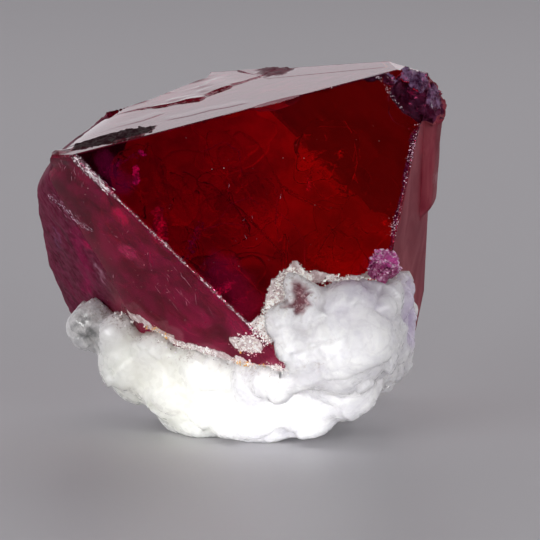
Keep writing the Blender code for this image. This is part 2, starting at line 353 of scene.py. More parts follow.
def flat_triangles(points, lines, corners):
    """Triangles between flat points inside a face, no slivers; also each point and what it was made from."""
    places, _, triangles, sources, _, _ = geometry.delaunay_2d_cdt(points, lines, [], 1, 1e-10, True)
    triangles = np.array([t for t in triangles if len(t) == 3], int).reshape(-1, 3)
    flat = np.array(places)
    first, second = (flat[triangles[:, k]] - flat[triangles[:, 0]] for k in (1, 2))
    size = np.abs(first[:, 0] * second[:, 1] - first[:, 1] * second[:, 0])
    longest = np.maximum((first**2).sum(1), (second**2).sum(1))
    kept = inside_triangles(flat[triangles].mean(1), corners) & (size > longest * SLIVER)
    return triangles[kept], zip(places, sources)


def clean_mesh(verts, faces):
    """A mesh without loose points, its faces turned outwards."""
    mesh = bpy.data.meshes.new("refined")
    mesh.from_pydata(verts, [], faces)
    fine = bmesh.new()
    fine.from_mesh(mesh)
    loose = [v for v in fine.verts if not v.link_faces]
    bmesh.ops.delete(fine, geom=loose, context="VERTS")
    bmesh.ops.recalc_face_normals(fine, faces=fine.faces[:])
    fine.to_mesh(mesh)
    fine.free()
    mesh.update()
    return mesh


def refine(bm, features, dense):
    """Triangulate every flat face finely, its edges kept sharp and straight.

    Faces are finest near their edges and near the feature lines that lie in
    them, and no coarser than twice that where they face a dense direction.
    """
    bm.verts.index_update()
    verts = [v.co.copy() for v in bm.verts]
    chains, faces = {}, []

    def chain_of(edge):
        """Vertex numbers along an edge, the same for both of its faces."""
        if edge not in chains:
            a, b = edge.verts
            parts = max(1, round((b.co - a.co).length / FINEST))
            inner = range(len(verts), len(verts) + parts - 1)
            verts.extend(a.co.lerp(b.co, k / parts) for k in range(1, parts))
            chains[edge] = [a.index, *inner, b.index]
        return chains[edge]

    for group in plane_groups(bm):
        members = set(group)
        normal = sum((f.normal * f.calc_area() for f in group), Vector()).normalized()
        axis_u = normal.orthogonal().normalized()
        axis_v = normal.cross(axis_u)
        origin = group[0].verts[0].co.copy()

        def flat(co):
            """A point in the plane's own two axes."""
            rel = co - origin
            return (rel.dot(axis_u), rel.dot(axis_v))

        order, lines = {}, []
        for edge in [e for f in group for e in f.edges if sum(x in members for x in e.link_faces) == 1]:
            row = [order.setdefault(number, len(order)) for number in chain_of(edge)]
            lines += zip(row[:-1], row[1:])
        order = list(order)
        found = rim = [Vector(flat(verts[number])) for number in order]
        corners = [[flat(v.co) for v in f.verts] for f in group]
        if sum(f.calc_area() for f in group) > FINEST**2 * 2.0:
            marks = [Vector(flat(p)) for p in features if abs((p - origin).dot(normal)) < 0.3 * MM]
            coarsest = 2 if any(normal.dot(Vector(way)) > 0.96 for way in dense) else 4
            found = rim + inner_points(rim, marks, corners, coarsest)
        triangles, points = flat_triangles(found, lines, corners)
        numbers = []
        for p, sources in points:
            known = [k for k in sources if k < len(order)]
            numbers.append(order[known[0]] if known else len(verts))
            if not known:
                verts.append(origin + axis_u * p.x + axis_v * p.y)
        rows = [[numbers[k] for k in triangle] for triangle in triangles]
        faces += [row for row in rows if len(set(row)) == 3]
    return clean_mesh(verts, faces)


# ---------------------------------------------------------------- material helpers
class Nodes:
    """Short-hand for building the node tree of a material or of the world."""

    def __init__(self, owner):
        owner.use_nodes = True
        self.owner = owner
        self.tree = owner.node_tree

    def link(self, source, target):
        """Join an output to an input; plain values are set on it instead, colours without their alpha."""
        if isinstance(source, bpy.types.NodeSocket):
            self.tree.links.new(source, target)
        elif isinstance(source, tuple) and len(target.default_value) == 4:
            target.default_value = (*source, 1.0)
        else:
            target.default_value = source

    def add(self, kind, inputs, out=0, **values):
        """One output of a new node, with its inputs joined or set and its properties given."""
        node = self.tree.nodes.new(kind)
        for key, value in values.items():
            setattr(node, key, value)
        for slot, value in inputs.items():
            self.link(value, node.inputs[slot])
        return node.outputs[out]

    def math(self, operation, a, b=0.0, clamp=False):
        """A number from two numbers."""
        return self.add("ShaderNodeMath", {0: a, 1: b}, operation=operation, use_clamp=clamp)

    def times(self, a, b, clamp=False):
        """A product."""
        return self.math("MULTIPLY", a, b, clamp)

    def vector(self, operation, a, b, out=0):
        """A vector from two vectors."""
        return self.add("ShaderNodeVectorMath", {0: a, 1: b}, out, operation=operation)

    def mix(self, factor, a, b, blend="MIX"):
        """A colour mix."""
        return self.add("ShaderNodeMix", {0: factor, 6: a, 7: b}, 2, data_type="RGBA", blend_type=blend)

    def between(self, factor, a, b):
        """A number mix."""
        return self.add("ShaderNodeMix", {0: factor, 2: a, 3: b}, data_type="FLOAT")

    def step(self, value, low, high, start=0.0, end=1.0):
        """From start at low to end at high, smooth between."""
        inputs = dict(enumerate((value, low, high, start, end)))
        return self.add("ShaderNodeMapRange", inputs, interpolation_type="SMOOTHSTEP")

    def place(self):
        """The surface point in object space, in millimetres."""
        point = self.add("ShaderNodeTexCoord", {}, "Object")
        return self.add("ShaderNodeVectorMath", {0: point, "Scale": 1000.0}, operation="SCALE")

    def near(self, point, centre, reach, soft):
        """1 close to a place given in metres, fading out at its reach in millimetres."""
        away = self.vector("DISTANCE", point, tuple(centre / MM), "Value")
        return self.math("SUBTRACT", 1.0, self.step(away, reach - soft, reach + soft))

    def noise(self, point, scale, detail=2.0, roughness=0.5, distortion=0.0):
        """Noise by features per millimetre."""
        inputs = {"Vector": point, "Scale": scale, "Detail": detail, "Roughness": roughness}
        return self.add("ShaderNodeTexNoise", {**inputs, "Distortion": distortion})

    def voronoi(self, point, scale, out="Distance", feature="F1"):
        """Voronoi cells by their number per millimetre."""
        return self.add("ShaderNodeTexVoronoi", {"Vector": point, "Scale": scale}, out, feature=feature)

    def attribute(self, name):
        """A number stored per vertex."""
        return self.add("ShaderNodeAttribute", {}, "Fac", attribute_name=name)

    def paint(self, layer):
        """A colour stored per vertex."""
        return self.add("ShaderNodeVertexColor", {}, "Color", layer_name=layer)

    def bump(self, height, strength, distance, **normal):
        """Relief from a height, its distance in millimetres."""
        inputs = {"Height": height, "Strength": strength, "Distance": distance * MM, **normal}
        return self.add("ShaderNodeBump", inputs)

    def set(self, **values):
        """Set or join inputs of the Principled shader by name."""
        for key, value in values.items():
            self.link(value, self.tree.nodes["Principled BSDF"].inputs[key.replace("_", " ")])

    def absorb(self, colour, density):
        """Clear volume that takes up light with depth."""
        volume = self.add("ShaderNodeVolumeAbsorption", {"Color": colour, "Density": density})
        self.link(volume, self.tree.nodes["Material Output"].inputs["Volume"])


def new_material(name):
    """The nodes of a new material."""
    return Nodes(bpy.data.materials.new(name))


# Blobs of colour on the lower left face: places on it and reach in millimetres, colour.
BLOBS = (
    (((5.0, -2.45), (4.8, -2.6)), 0.42, (0.80, 0.055, 0.22)),
    (((5.63, -2.5),), 0.32, (0.44, 0.040, 0.12)),
    (((3.64, -0.83), (3.4, -0.75)), 0.36, (0.95, 0.004, 0.13)),
    (((3.5, -5.5), (3.8, -6.1), (3.3, -5.0)), 0.40, (0.50, 0.004, 0.085)),
)


def spinel_patterns(m, p):
    """The masks stored in the crystal's mesh, and the patterns that break them up."""
    masks = (
        "haze", "bloom", "lilac", "streak", "spot", "purple", "grain", "dirt", "dusty", "wall", "shade",
        "blush", "etched", "on_front",
    )
    s = SimpleNamespace(**{name: m.attribute(name) for name in masks})
    s.small = m.step(m.noise(p, 3.0, 4.0, 0.65), 0.38, 0.66)
    # glint: painted sparkles, white spots laid on the frosted edges
    s.glint = m.step(m.noise(p, 9.0, 4.0, 0.75), 0.50, 0.60)
    s.blotch = m.step(m.noise(p, 0.75, 5.0, 0.65, 0.6), 0.34, 0.68)
    s.frost = m.times(m.attribute("wear"), m.between(s.glint, 0.35, 1.0), clamp=True)
    s.marked = m.times(m.attribute("marked"), m.between(s.small, 0.55, 1.0))
    ragged = m.math("ADD", m.times(s.dusty, 0.50), m.times(m.noise(p, 5.0, 5.0, 0.75), 0.60))
    s.crumbly = m.times(m.step(ragged, 0.56, 0.68), m.step(s.dusty, 0.0, 0.1))
    return s


def spinel_tint(m, p, s):
    """The crystal's colour, each layer laid over the last."""
    down = m.step(m.noise(m.vector("MULTIPLY", p, (1.1, 1.1, 0.24)), 0.9, 5.0, 0.6, 0.8), 0.36, 0.70)
    tall = m.step(m.noise(m.vector("MULTIPLY", p, (0.9, 0.22, 0.24)), 0.9, 4.0, 0.6, 0.6), 0.36, 0.68)
    ripple = m.vector("ADD", p, m.times(m.math("SUBTRACT", m.noise(p, 2.4, 3.0, 0.6), 0.5), 0.5))
    # spark: painted sparkles on the strip beside the right-hand edge
    spark = m.step(m.noise(p, 11.0, 3.0, 0.7), 0.57, 0.64)
    grit = m.step(m.noise(p, 4.0, 4.0, 0.7), 0.45, 0.62)
    behind = m.mix(m.step(m.noise(p, 0.42, 4.0, 0.6), 0.36, 0.64), (0.30, 0.01, 0.10), (0.92, 0.03, 0.30))
    wine = m.mix(down, (0.060, 0.001, 0.011), (0.15, 0.006, 0.034))
    # pale and rosy: frost colours with painted sparkles in them
    pale = m.mix(s.glint, (0.34, 0.14, 0.20), (1.0, 0.90, 0.94))
    rosy = m.mix(spark, m.mix(s.small, (0.10, 0.002, 0.032), (0.28, 0.010, 0.10)), (0.95, 0.55, 0.74))

    # Front face: a painted bright red glow on its right, painted shade on its left.
    tint = m.mix(s.shade, m.mix(s.bloom, (0.96, 0.02, 0.02), (0.36, 0.006, 0.08)), behind)
    for share, pattern, dark, light in (
        (m.step(s.haze, 0.0, 0.12), s.blotch, (0.14, 0.003, 0.020), (0.35, 0.005, 0.066)),
        (m.step(s.lilac, 0.1, 0.8), s.small, wine, (0.17, 0.024, 0.060)),
        (m.step(s.streak, 0.1, 0.6), tall, (0.19, 0.008, 0.020), (0.36, 0.085, 0.105)),
        # painted sheen: the ledge's walls that face the front are lighter
        (s.wall, tall, (0.34, 0.050, 0.075), (0.58, 0.18, 0.20)),
    ):
        tint = m.mix(share, tint, m.mix(pattern, dark, light))
    tint = m.mix(s.marked, tint, m.paint("mark"))
    for places, reach, colour in BLOBS:
        for u, v in places:
            blob = m.near(ripple, face_point("lower_left", u, v), reach, 0.20)
            tint = m.mix(m.times(blob, m.between(s.small, 0.35, 0.95)), tint, colour)
    for share, pattern, dark, light in (
        (m.step(s.spot, 0.1, 0.6), s.small, (0.05, 0.004, 0.012), (0.16, 0.035, 0.055)),
        (m.step(s.purple, 0.0, 0.3), s.small, (0.035, 0.002, 0.016), (0.11, 0.030, 0.080)),
        (m.step(s.grain, 0.1, 0.6), s.small, (0.05, 0.014, 0.055), (0.28, 0.19, 0.34)),
        (m.step(s.frost, 0.0, 0.3), s.blush, pale, rosy),
        (m.step(s.crumbly, 0.0, 0.4), s.small, (0.52, 0.42, 0.41), (0.94, 0.91, 0.90)),
        (m.step(s.dirt, 0.2, 0.6), grit, (0.004, 0.005, 0.0045), (0.036, 0.042, 0.038)),
    ):
        tint = m.mix(share, tint, m.mix(pattern, dark, light))
    return tint


def spinel_finish(m, s):
    """How opaque and how matt each part of the crystal is."""
    solid, rough = m.times(s.haze, m.between(s.blotch, 0.7, 1.0)), m.times(s.haze, 0.24)
    # front: a small opaque share of the painted red glow on the front face's right.
    front = m.times(s.on_front, m.between(s.bloom, 0.052, 0.020))
    for share, opaque, matt in (
        (s.frost, 0.85, 0.30), (s.dirt, 1.0, 0.9), (s.etched, 0.08, 0.52), (s.purple, 0.45, 0.16),
        (s.grain, 0.70, 0.25), (s.crumbly, 0.8, 0.6), (s.lilac, 0.98, 0.66), (s.streak, 0.62, 0.60),
        (s.spot, 0.85, 0.5), (s.marked, 0.6, 0.0), (front, 1.0, 0.0),
    ):
        solid = m.math("MAXIMUM", solid, m.times(share, opaque), clamp=True)
        rough = m.math("MAXIMUM", rough, m.times(share, matt))
    m.set(Transmission_Weight=m.math("SUBTRACT", 1.0, solid), Roughness=m.math("MAXIMUM", rough, 0.025))


def spinel_material():
    """Clear dark red spinel, frosted where it is worn with painted sparkles on the frost, hazed on its
    flank, with a painted red glow on its front face.
    """
    m = new_material("spinel_red")
    p = m.place()
    s = spinel_patterns(m, p)
    m.set(Base_Color=spinel_tint(m, p, s))
    m.set(IOR=1.718, Specular_IOR_Level=0.32, Specular_Tint=(1.0, 0.12, 0.32))
    spinel_finish(m, s)
    lumpy = m.times(m.noise(m.vector("MULTIPLY", p, (1.0, 1.0, 0.55)), 1.2, 5.0, 0.62), s.lilac)
    m.set(Normal=m.bump(lumpy, 0.6, 0.34, Normal=m.bump(m.noise(p, 2.2, 5.0, 0.6), 0.06, 0.02)))
    m.absorb((0.928, 0.083, 0.30), 600.0)
    return m.owner


def calcite_material():
    """White sugary marble calcite, veined, glassy and tinted in places."""
    m = new_material("calcite_white")
    p = m.place()
    mask = m.attribute
    glassy, crust = mask("glassy"), mask("crust")
    cloudy = m.step(m.noise(p, 0.8, 5.0, 0.65, 0.5), 0.3, 0.7)
    sugar = m.step(m.voronoi(p, 4.5, "Color"), 0.30, 0.66)
    bent = m.vector("ADD", p, m.noise(p, 1.1, 3.0, 0.6))
    veins = m.step(m.voronoi(bent, 0.95, feature="DISTANCE_TO_EDGE"), 0.02, 0.09)
    smoky = m.step(m.noise(p, 1.7, 5.0, 0.7, 0.4), 0.36, 0.66)
    grime = m.step(m.noise(p, 5.0, 5.0, 0.75), 0.50, 0.66)
    tone = m.mix(cloudy, (0.70, 0.69, 0.73), (0.95, 0.95, 0.94))
    tone = m.mix(m.times(sugar, 0.16), tone, (0.62, 0.61, 0.63))
    tone = m.mix(m.between(veins, 0.40, 0.0), tone, (0.66, 0.65, 0.67))
    tone = m.mix(mask("green"), tone, (0.93, 0.96, 0.83))
    tone = m.mix(mask("lavender"), tone, m.mix(cloudy, (0.46, 0.38, 0.55), (0.66, 0.60, 0.74)))
    tone = m.mix(glassy, tone, m.mix(smoky, (0.27, 0.27, 0.27), (0.66, 0.65, 0.64)))
    tone = m.mix(m.times(crust, grime), tone, (0.30, 0.23, 0.19))
    tone = m.mix(mask("window"), tone, m.mix(grime, (0.15, 0.014, 0.032), (0.60, 0.40, 0.42)))
    smooth = m.between(glassy, m.between(sugar, 0.20, 0.42), 0.10)
    m.set(Base_Color=tone, Roughness=m.between(crust, smooth, 0.6), IOR=1.58)
    m.set(Subsurface_Weight=1.0, Subsurface_Radius=(1.0, 1.0, 0.97), Subsurface_Scale=2.6 * MM)
    relief = m.math("ADD", m.noise(p, 2.6, 7.0, 0.68), m.times(m.voronoi(p, 3.0), 0.45))
    m.set(Normal=m.bump(relief, 0.25, 0.05))
    return m.owner


def pink_material():
    """Pink glassy spinel grain, sparkling on its small facets."""
    m = new_material("spinel_pink")
    p = m.place()
    pale = m.step(m.noise(p, 5.5, 4.0, 0.7), 0.46, 0.66)
    rosy = m.mix(pale, (0.60, 0.09, 0.36), (1.0, 0.80, 0.95))
    deep = m.mix(pale, (0.24, 0.008, 0.095), (0.60, 0.22, 0.42))
    m.set(Base_Color=m.mix(m.attribute("low"), rosy, deep))
    m.set(Roughness=0.12, Transmission_Weight=0.12, IOR=1.718)
    m.set(Normal=m.bump(m.noise(p, 7.0, 4.0, 0.6), 0.6, 0.04))
    m.absorb((0.9, 0.35, 0.70), 400.0)
    return m.owner


def floor_material():
    """Plain pale smooth table top."""
    m = new_material("floor_pale")
    m.set(Base_Color=(0.50, 0.49, 0.51), Roughness=0.45)
    return m.owner


# ---------------------------------------------------------------- the crystal
# The corners that a face's first axis runs between.
FRAME_ENDS = {"top": (CORNER_A, CORNER_B), "front": (CORNER_A, CORNER_B)}
FRAME_ENDS["lower_left"] = (CORNER_A, CORNER_C)
FRAME_ENDS["right"] = (CORNER_B, CORNER_C)

# Lines and patches on the faces, as (along, across) in millimetres from the face's first corner.
TERRACE = (
    (0.72, 4.82), (2.74, 7.9), (4.45, 8.03), (5.85, 7.49), (8.0, 6.0), (9.77, 7.64), (11.78, 8.22),
    (13.77, 9.52),
)
FINE_STEP = ((5.2, 2.6), (6.4, 2.1), (7.4, 2.2), (8.3, 1.7), (9.3, 1.6))
FINE_STEP_2 = ((1.2, 3.6), (3.0, 4.4), (4.6, 4.2), (6.0, 4.9))
PIT = (
    (0.29, 1.44), (1.11, 0.73), (2.38, 0.42), (3.55, 0.24), (4.35, 0.95), (4.75, 1.9), (3.6, 2.7),
    (2.3, 3.35), (0.95, 3.2),
)
HOLLOW_RIM = (
    (15.07, -0.05), (15.33, -0.52), (15.45, -1.09), (15.61, -1.53), (15.8, -1.88), (16.18, -2.28),
    (16.5, -2.71),
)
DARK_SPOT = ((12.11, 10.17), (13.12, 10.84), (13.95, 8.41), (12.75, 7.16), (11.74, 7.76))


def face_axes(name):
    """Origin and the two in-plane axes of a face."""
    start, end = FRAME_ENDS[name]
    along = (end - start) / np.linalg.norm(end - start)
    return start, along, np.cross(FACE[name][0], along)


def face_uv(points, name):
    """Millimetres along and across a face."""
    start, along, across = face_axes(name)
    rel = points - start
    return np.stack([rel @ along, rel @ across], 1) / MM


def face_point(name, u, v, out=0.0):
    """World point from millimetres along, across and out of a face."""
    start, along, across = face_axes(name)
    return start + (along * u + across * v + FACE[name][0] * out) * MM


def line_gap(uv, line):
    """Distance from flat points to a polyline."""
    best = np.full(len(uv), 1e9)
    for a, b in zip(line[:-1], line[1:]):
        a, b = np.array(a), np.array(b)
        t = np.clip(((uv - a) @ (b - a)) / ((b - a) @ (b - a)), 0.0, 1.0)
        best = np.minimum(best, np.linalg.norm(uv - a - t[:, None] * (b - a), axis=1))
    return best


def patch_depth(uv, patch):
    """Distance inside a closed patch, negative outside it."""
    inside = np.zeros(len(uv), bool)
    ring = list(patch) + [patch[0]]
    for (x0, y0), (x1, y1) in zip(ring[:-1], ring[1:]):
        crosses = (y0 > uv[:, 1]) != (y1 > uv[:, 1])
        slope = (x1 - x0) * (uv[:, 1] - y0) / ((y1 - y0) if y1 != y0 else 1e-9) + x0
        inside ^= crosses & (uv[:, 0] < slope)
    gap = line_gap(uv, ring)
    return np.where(inside, gap, -gap)


def sampled(name, line, step=0.06):
    """World points along a line on a face."""
    out = []
    for a, b in zip(line[:-1], line[1:]):
        parts = max(1, int(math.dist(a, b) / step))
        for k in range(parts):
            out.append(Vector(face_point(name, *(p + (q - p) * k / parts for p, q in zip(a, b)))))
    return out


def beyond(uv, line):
    """Distance across a face from a line to each flat point."""
    line = np.array(line)
    return uv[:, 1] - np.interp(uv[:, 0], line[:, 0], line[:, 1])


def face_points(name, flat, out=0.0):
    """World points for rows of millimetres along and across a face."""
    return np.array([face_point(name, u, v, out) for u, v in flat])


def bisector(first, second):
    """Direction out of the edge between two faces."""
    way = FACE[first][0] + FACE[second][0]
    return way / np.linalg.norm(way)


def plane_gap(points, name):
    """How far each point lies inside one octahedral face's plane."""
    normal, distance = FACE[name]
    return distance - (points - CENTRE) @ normal


def hull_height(points):
    """Height above the unbroken body, negative inside, and the nearest plane."""
    values = (points - CENTRE) @ HULL_N.T - HULL_D
    return values.max(1), values.argmax(1)


def rounded(points, normals, distances, softness, rounds=4):
    """Pull points onto the planes' soft intersection, which rounds their edges."""
    for _ in range(rounds):
        values = (points - CENTRE) @ normals.T - distances
        top = values.max(1, keepdims=True)
        w = np.exp((values - top) / softness)
        height = top[:, 0] + softness * np.log(w.sum(1))
        slope = (w @ normals) / w.sum(1, keepdims=True)
        points = points - slope * (height / (slope**2).sum(1))[:, None]
    return points


def seen_at(points):
    """Where the camera sees points, in pixels of a picture 540 pixels wide."""
    up = np.array((0.0, math.sin(CAMERA_ELEVATION), math.cos(CAMERA_ELEVATION)))
    off = points - np.array(AIM) - TO_CAMERA * CAMERA_DISTANCE
    deep = -(off @ TO_CAMERA) * math.tan(CAMERA_FOV / 2.0)
    return 270.0 + 270.0 * np.stack([off[:, 0] / deep, -(off @ up) / deep], 1)


def facing(normals):
    """1 on surface turned to the camera."""
    return ramp(normals @ TO_CAMERA, 0.02, 0.15)


# Strokes on the crystal: a line of picture pixels, its half width in pixels, its colour.
MARKS = (
    (((75, 232), (83, 260), (88, 290)), 9.0, (0.30, 0.003, 0.070)),
    (((96, 264), (101, 273), (104, 284)), 2.8, (0.42, 0.20, 0.28)),
    (((55, 230), (60, 244)), 4.0, (0.26, 0.085, 0.19)),
    (((222, 268), (236, 284), (250, 304)), 26.0, (0.13, 0.001, 0.012)),
    (((106, 162), (124, 184)), 17.0, (0.080, 0.001, 0.024)),
    (((57, 134), (61, 146), (66, 158)), 6.5, (0.13, 0.035, 0.040)),
    # painted pink highlight on the ledge's front-facing wall
    (((419, 134), (424, 152)), 4.5, (0.42, 0.045, 0.065)),
    (((438, 176), (440, 192)), 4.5, (0.62, 0.36, 0.40)),
    (((432, 235), (436, 262), (434, 288)), 6.0, (0.28, 0.010, 0.028)),
)
# Outlines and one point in the same pixels: corner grains, corner hollow, window and crust in the calcite.
RIDGE = (
    (383, 70), (396, 65), (411, 66), (425, 73), (438, 89), (440, 107), (431, 108), (421, 96), (408, 87),
    (396, 84),
)
HOLLOW_SEEN = (
    (404, 74), (424, 80), (439, 96), (441, 110), (433, 122), (424, 121), (404, 104),
)
WINDOW_SEEN = (
    (296, 279), (303, 282), (309, 291), (309, 305), (303, 313), (293, 314), (287, 307), (286, 294),
    (290, 284),
)
CRUST_PEAK = (292, 292)


def filled_edge(points, first, second, share):
    """Fill a share of what is cut off the edge between two faces."""
    way = bisector(first, second)
    room = np.minimum(plane_gap(points, first), plane_gap(points, second)) / (way @ FACE[second][0])
    return points + way * (np.clip(room, 0.0, None) * share)[:, None]


def edge_wear(points, first, second, depth, lumps, seed):
    """Chip an edge: cut it back to small facets of uneven depth and tilt."""
    normal = bisector(first, second)
    height = (points - CENTRE) @ normal - EDGE / 2.0
    _, _, value, rel = cells(points, lumps, seed)
    tilt = rel @ np.array([math.sin(seed), math.cos(seed * 2.0), math.sin(seed * 3.0)])
    cut = -depth * (0.35 + 1.1 * value**2) + min(0.35, 3.0 * depth / MM) * tilt
    excess = np.clip(height - cut, 0.0, None)
    return points - normal * excess[:, None], excess


def break_corner(body):
    """Broken hollows lose their facets, the corner's grains stand out, the thin top layer lies lower."""
    points, gap = body.points, body.gap
    inside = fade(-body.height, 0.02, 0.10) * (gap["right"] > 0.02 * MM)
    points = relax(points, body.mesh, 0.5 * inside, 12)
    facet = facets(points, 0.95, 13, 0.30)
    corner = inside * (points[:, 0] > CORNER_RIGHT)
    closed = ramp(-beyond(face_uv(points, "front"), HOLLOW_RIM), 0.05, 0.25)
    closed = closed * corner * (gap["front"] < 1.1 * MM)
    room = np.clip(plane_gap(points, "front"), 0.0, None)
    points = points + FACE["front"][0] * (room * closed)[:, None]
    gap["front"] = gap["front"] * (1.0 - closed)
    body.inside = inside * (1.0 - closed)
    corner = corner * (1.0 - closed)
    facet = facet + 0.05 * MM * fractal_noise(points, 0.5, 3, 14)
    points = points + body.normals * (facet * corner)[:, None]
    lift = np.clip(-gap["top"], 0.0, None) * (gap["right"] > 0.0)
    grains = (points[:, 0] > CORNER_RIGHT) & (gap["front"] < 3.2 * MM) & (points[:, 2] > 14.9 * MM)
    grains &= ~((lift > 0.0) & (points[:, 0] < 6.7 * MM) & (gap["front"] > 0.7 * MM))
    flush = 0.95 - 0.35 * ramp(beyond(face_uv(points, "top"), TERRACE), 0.3, 3.5)
    points = points - FACE["top"][0] * (lift * flush * ~grains)[:, None]
    body.grains, body.proud = grains, grains & (body.height > 0.01 * MM)
    body.points = points + body.normals * (facets(points, 0.42, 17, 0.55) * body.proud)[:, None]


def fill_edges(body):
    """The chips along the front top edge are shallow, the edge between the front faces is a low ridge."""
    gap = body.gap
    along = face_uv(body.points, "top")[:, 0]
    chips = (gap["front"] < 0.45 * MM) & (gap["top"] < 0.45 * MM) & (along > 4.9) & (along < 15.6)
    share = np.where((along > 8.6) & (along < 11.8), 0.55, 0.93)
    body.points = filled_edge(body.points, "front", "top", share * chips)
    ridge = (gap["front"] < 0.22 * MM) & (gap["lower_left"] < 0.22 * MM)
    body.points = filled_edge(body.points, "lower_left", "front", 0.6 * ridge)


def relieve_top(body):
    """Growth steps, a dark spot and a dirty pit on the top face."""
    points, up = body.points, FACE["top"][0]
    on_top = fade(-np.abs(plane_gap(points, "top")), -0.12, -0.05) * ~body.grains
    uv = face_uv(points, "top")
    along, across = uv.T
    wobble = fractal_noise(points, 1.1, 3, 11)
    strong = 0.055 + 0.060 * ramp(fractal_noise(points, 1.6, 2, 12), -0.2, 0.4) * ramp(-along, -11.0, -9.5)
    rise = strong * ramp(beyond(uv, TERRACE) + 0.55 * wobble, -0.10, 0.10) * ramp(across, 3.0, 4.5)
    for line, size in ((FINE_STEP, 0.020), (FINE_STEP_2, 0.022)):
        side, start, end = beyond(uv, line), line[0][0], line[-1][0]
        span = ramp(along, start, start + 0.5) * ramp(-along, -end, -end + 0.5)
        rise += size * span * ramp(side + 0.08 * wobble, -0.04, 0.04) * ramp(-side, -1.6, -0.3)
    shaky = uv + 0.25 * fractal_noise(points, 0.8, 3, 21)[:, None]
    spot = ramp(patch_depth(shaky, DARK_SPOT), -0.15, 0.35)
    teeth = (across * 1.7 + 0.5 * fractal_noise(points, 0.7, 2, 23)) % 1.0
    rise += spot * (0.10 * teeth - 0.06 + 0.10 * fractal_noise(points, 0.6, 2, 22))
    points = points + up * (rise * MM * on_top)[:, None]
    shaky = uv + 0.16 * fractal_noise(points, 0.5, 3, 31)[:, None]
    pit = ramp(patch_depth(shaky, PIT), 0.0, 0.22) * (body.gap["top"] < 0.9 * MM)
    shelf = (across * 0.9 + along * 0.35 + 0.6 * fractal_noise(points, 0.8, 2, 33)) % 1.0
    want = pit * (0.02 - 0.17 * shelf + 0.13 * fractal_noise(points, 0.42, 4, 32, 0.7))
    now = plane_gap(points, "top") / MM
    body.points = points - up * ((want - now) * MM * pit)[:, None]
    body.on_top, body.spot, body.pit = on_top, spot * on_top, pit


def round_flank(body):
    """The left flank is rounded and uneven."""
    points, gap = body.points, body.gap
    on_hull = body.height > -0.03 * MM
    planes = FLANK + [list(FACE).index(k) for k in ("top", "lower_left", "back", "under")]
    soft = rounded(points, HULL_N[planes], HULL_D[planes], 0.30 * MM)
    body.leftness = fade(-points[:, 0], 5.2, 7.6) * fade(gap["front"], 0.25, 1.1)
    weight = body.leftness * on_hull * np.maximum(fade(gap["top"], 0.05, 0.8), fade(gap["front"], 1.5, 3.5))
    points = points + (soft - points) * weight[:, None]
    body.flank = body.leftness * np.isin(body.nearest, FLANK) * on_hull
    drawn = points * np.array((1.0, 1.0, 0.4))
    lumps = 0.17 * fractal_noise(points, 2.1, 4, 41) + 0.035 * fractal_noise(drawn, 0.5, 3, 42)
    move = lumps * MM * body.flank - 0.05 * MM * body.flank
    body.points = points + body.normals * move[:, None]


# Small lumps behind the upper left corner: centre, radius and height in millimetres.
CORNER_LUMPS = (((-8.95, -6.6, 14.3), 0.75, 0.30), ((-8.85, -5.3, 14.7), 0.7, 0.22))


def soften_sides(body):
    """The ledge on the right is soft, the hidden back faces are uneven, small lumps sit behind a corner."""
    gap = body.gap
    ledge = fade(-gap["right"], 0.0, 0.05) * ~body.grains
    points = relax(body.points, body.mesh, 0.5 * ledge, 110)
    tall = points * np.array((1.0, 1.0, 0.30))
    points = points + FACE["right"][0] * (0.12 * MM * fractal_noise(tall, 1.5, 2, 51) * ledge)[:, None]
    unseen = np.max([fade(-np.abs(gap[name]), -0.12, -0.02) for name in HIDDEN], 0)
    _, second, third = np.sort(np.abs([gap[name] for name in FACE]), 0)[:3]
    unseen *= fade(second, 0.0, 0.7) * fade(third, 0.2, 1.2) * (1.0 - body.leftness)
    swell = fractal_noise(points, 2.3, 3, 61, 0.45) * 0.26 - 0.16
    points = points + body.normals * (swell * MM * unseen)[:, None]
    for centre, radius, size in CORNER_LUMPS:
        away = np.linalg.norm(points - np.array(centre) * MM, axis=1) / MM
        bulge = ramp(-away, -radius, 0.0) * size * (1.0 + 0.5 * fractal_noise(points, 0.4, 3, 15))
        bulge = bulge * MM * fade(gap["front"], 0.2, 0.6)
        points = points + np.array((-0.75, -0.25, 0.55)) * bulge[:, None]
    body.points = points


# Worn edges: two faces, depth in metres, lump size, noise seed and frost line's width in millimetres.
WORN = (
    ("front", "lower_left", 0.050 * MM, 0.30, 3, 0.085),
    ("front", "right", 0.050 * MM, 0.26, 4, 0.050),
    ("front", "top", 0.008 * MM, 0.40, 5, 0.012),
)


def wear_edges(body):
    """Chip the edges and mark where they are frosted."""
    gap = body.gap
    whole = (~body.grains) * (1.0 - body.inside * (body.points[:, 0] > CORNER_NEAR))
    body.wear, body.blush = np.zeros((2, len(whole)))
    for first, second, depth, lump, seed, line in WORN:
        before = body.points
        body.points, excess = edge_wear(before, first, second, depth, lump, seed)
        reach = (CENTRE - before) @ bisector(first, second) + EDGE / 2.0
        chipped = excess > depth * (0.75 + 0.6 * fractal_noise(before, 0.9, 3, seed + 9))
        uneven = line * (1.0 + 0.45 * fractal_noise(before, 0.7, 3, seed + 19)) * MM
        band = np.maximum(fade(uneven - reach, 0.0, 0.045), chipped) * whole
        if second == "lower_left":
            from_corner = np.linalg.norm(before - CORNER_A, axis=1) / MM
            wide = (0.15 + 0.08 * fractal_noise(before, 0.35, 3, 83)) * ramp(-from_corner, -2.9, -1.9)
            band = np.maximum(band, fade(wide * MM - reach, 0.0, 0.03) * (from_corner > 0.2) * whole)
        if second == "right":
            body.blush = fade(-reach, -0.5, -0.2)
            strip = (0.30 + 0.14 * fractal_noise(before, 0.6, 3, 77)) * MM
            strip = 0.75 * fade(strip - gap["right"], 0.0, 0.10)
            band = np.maximum(band, strip * (gap["front"] < 0.02 * MM) * whole)
        body.wear = np.maximum(body.wear, band)


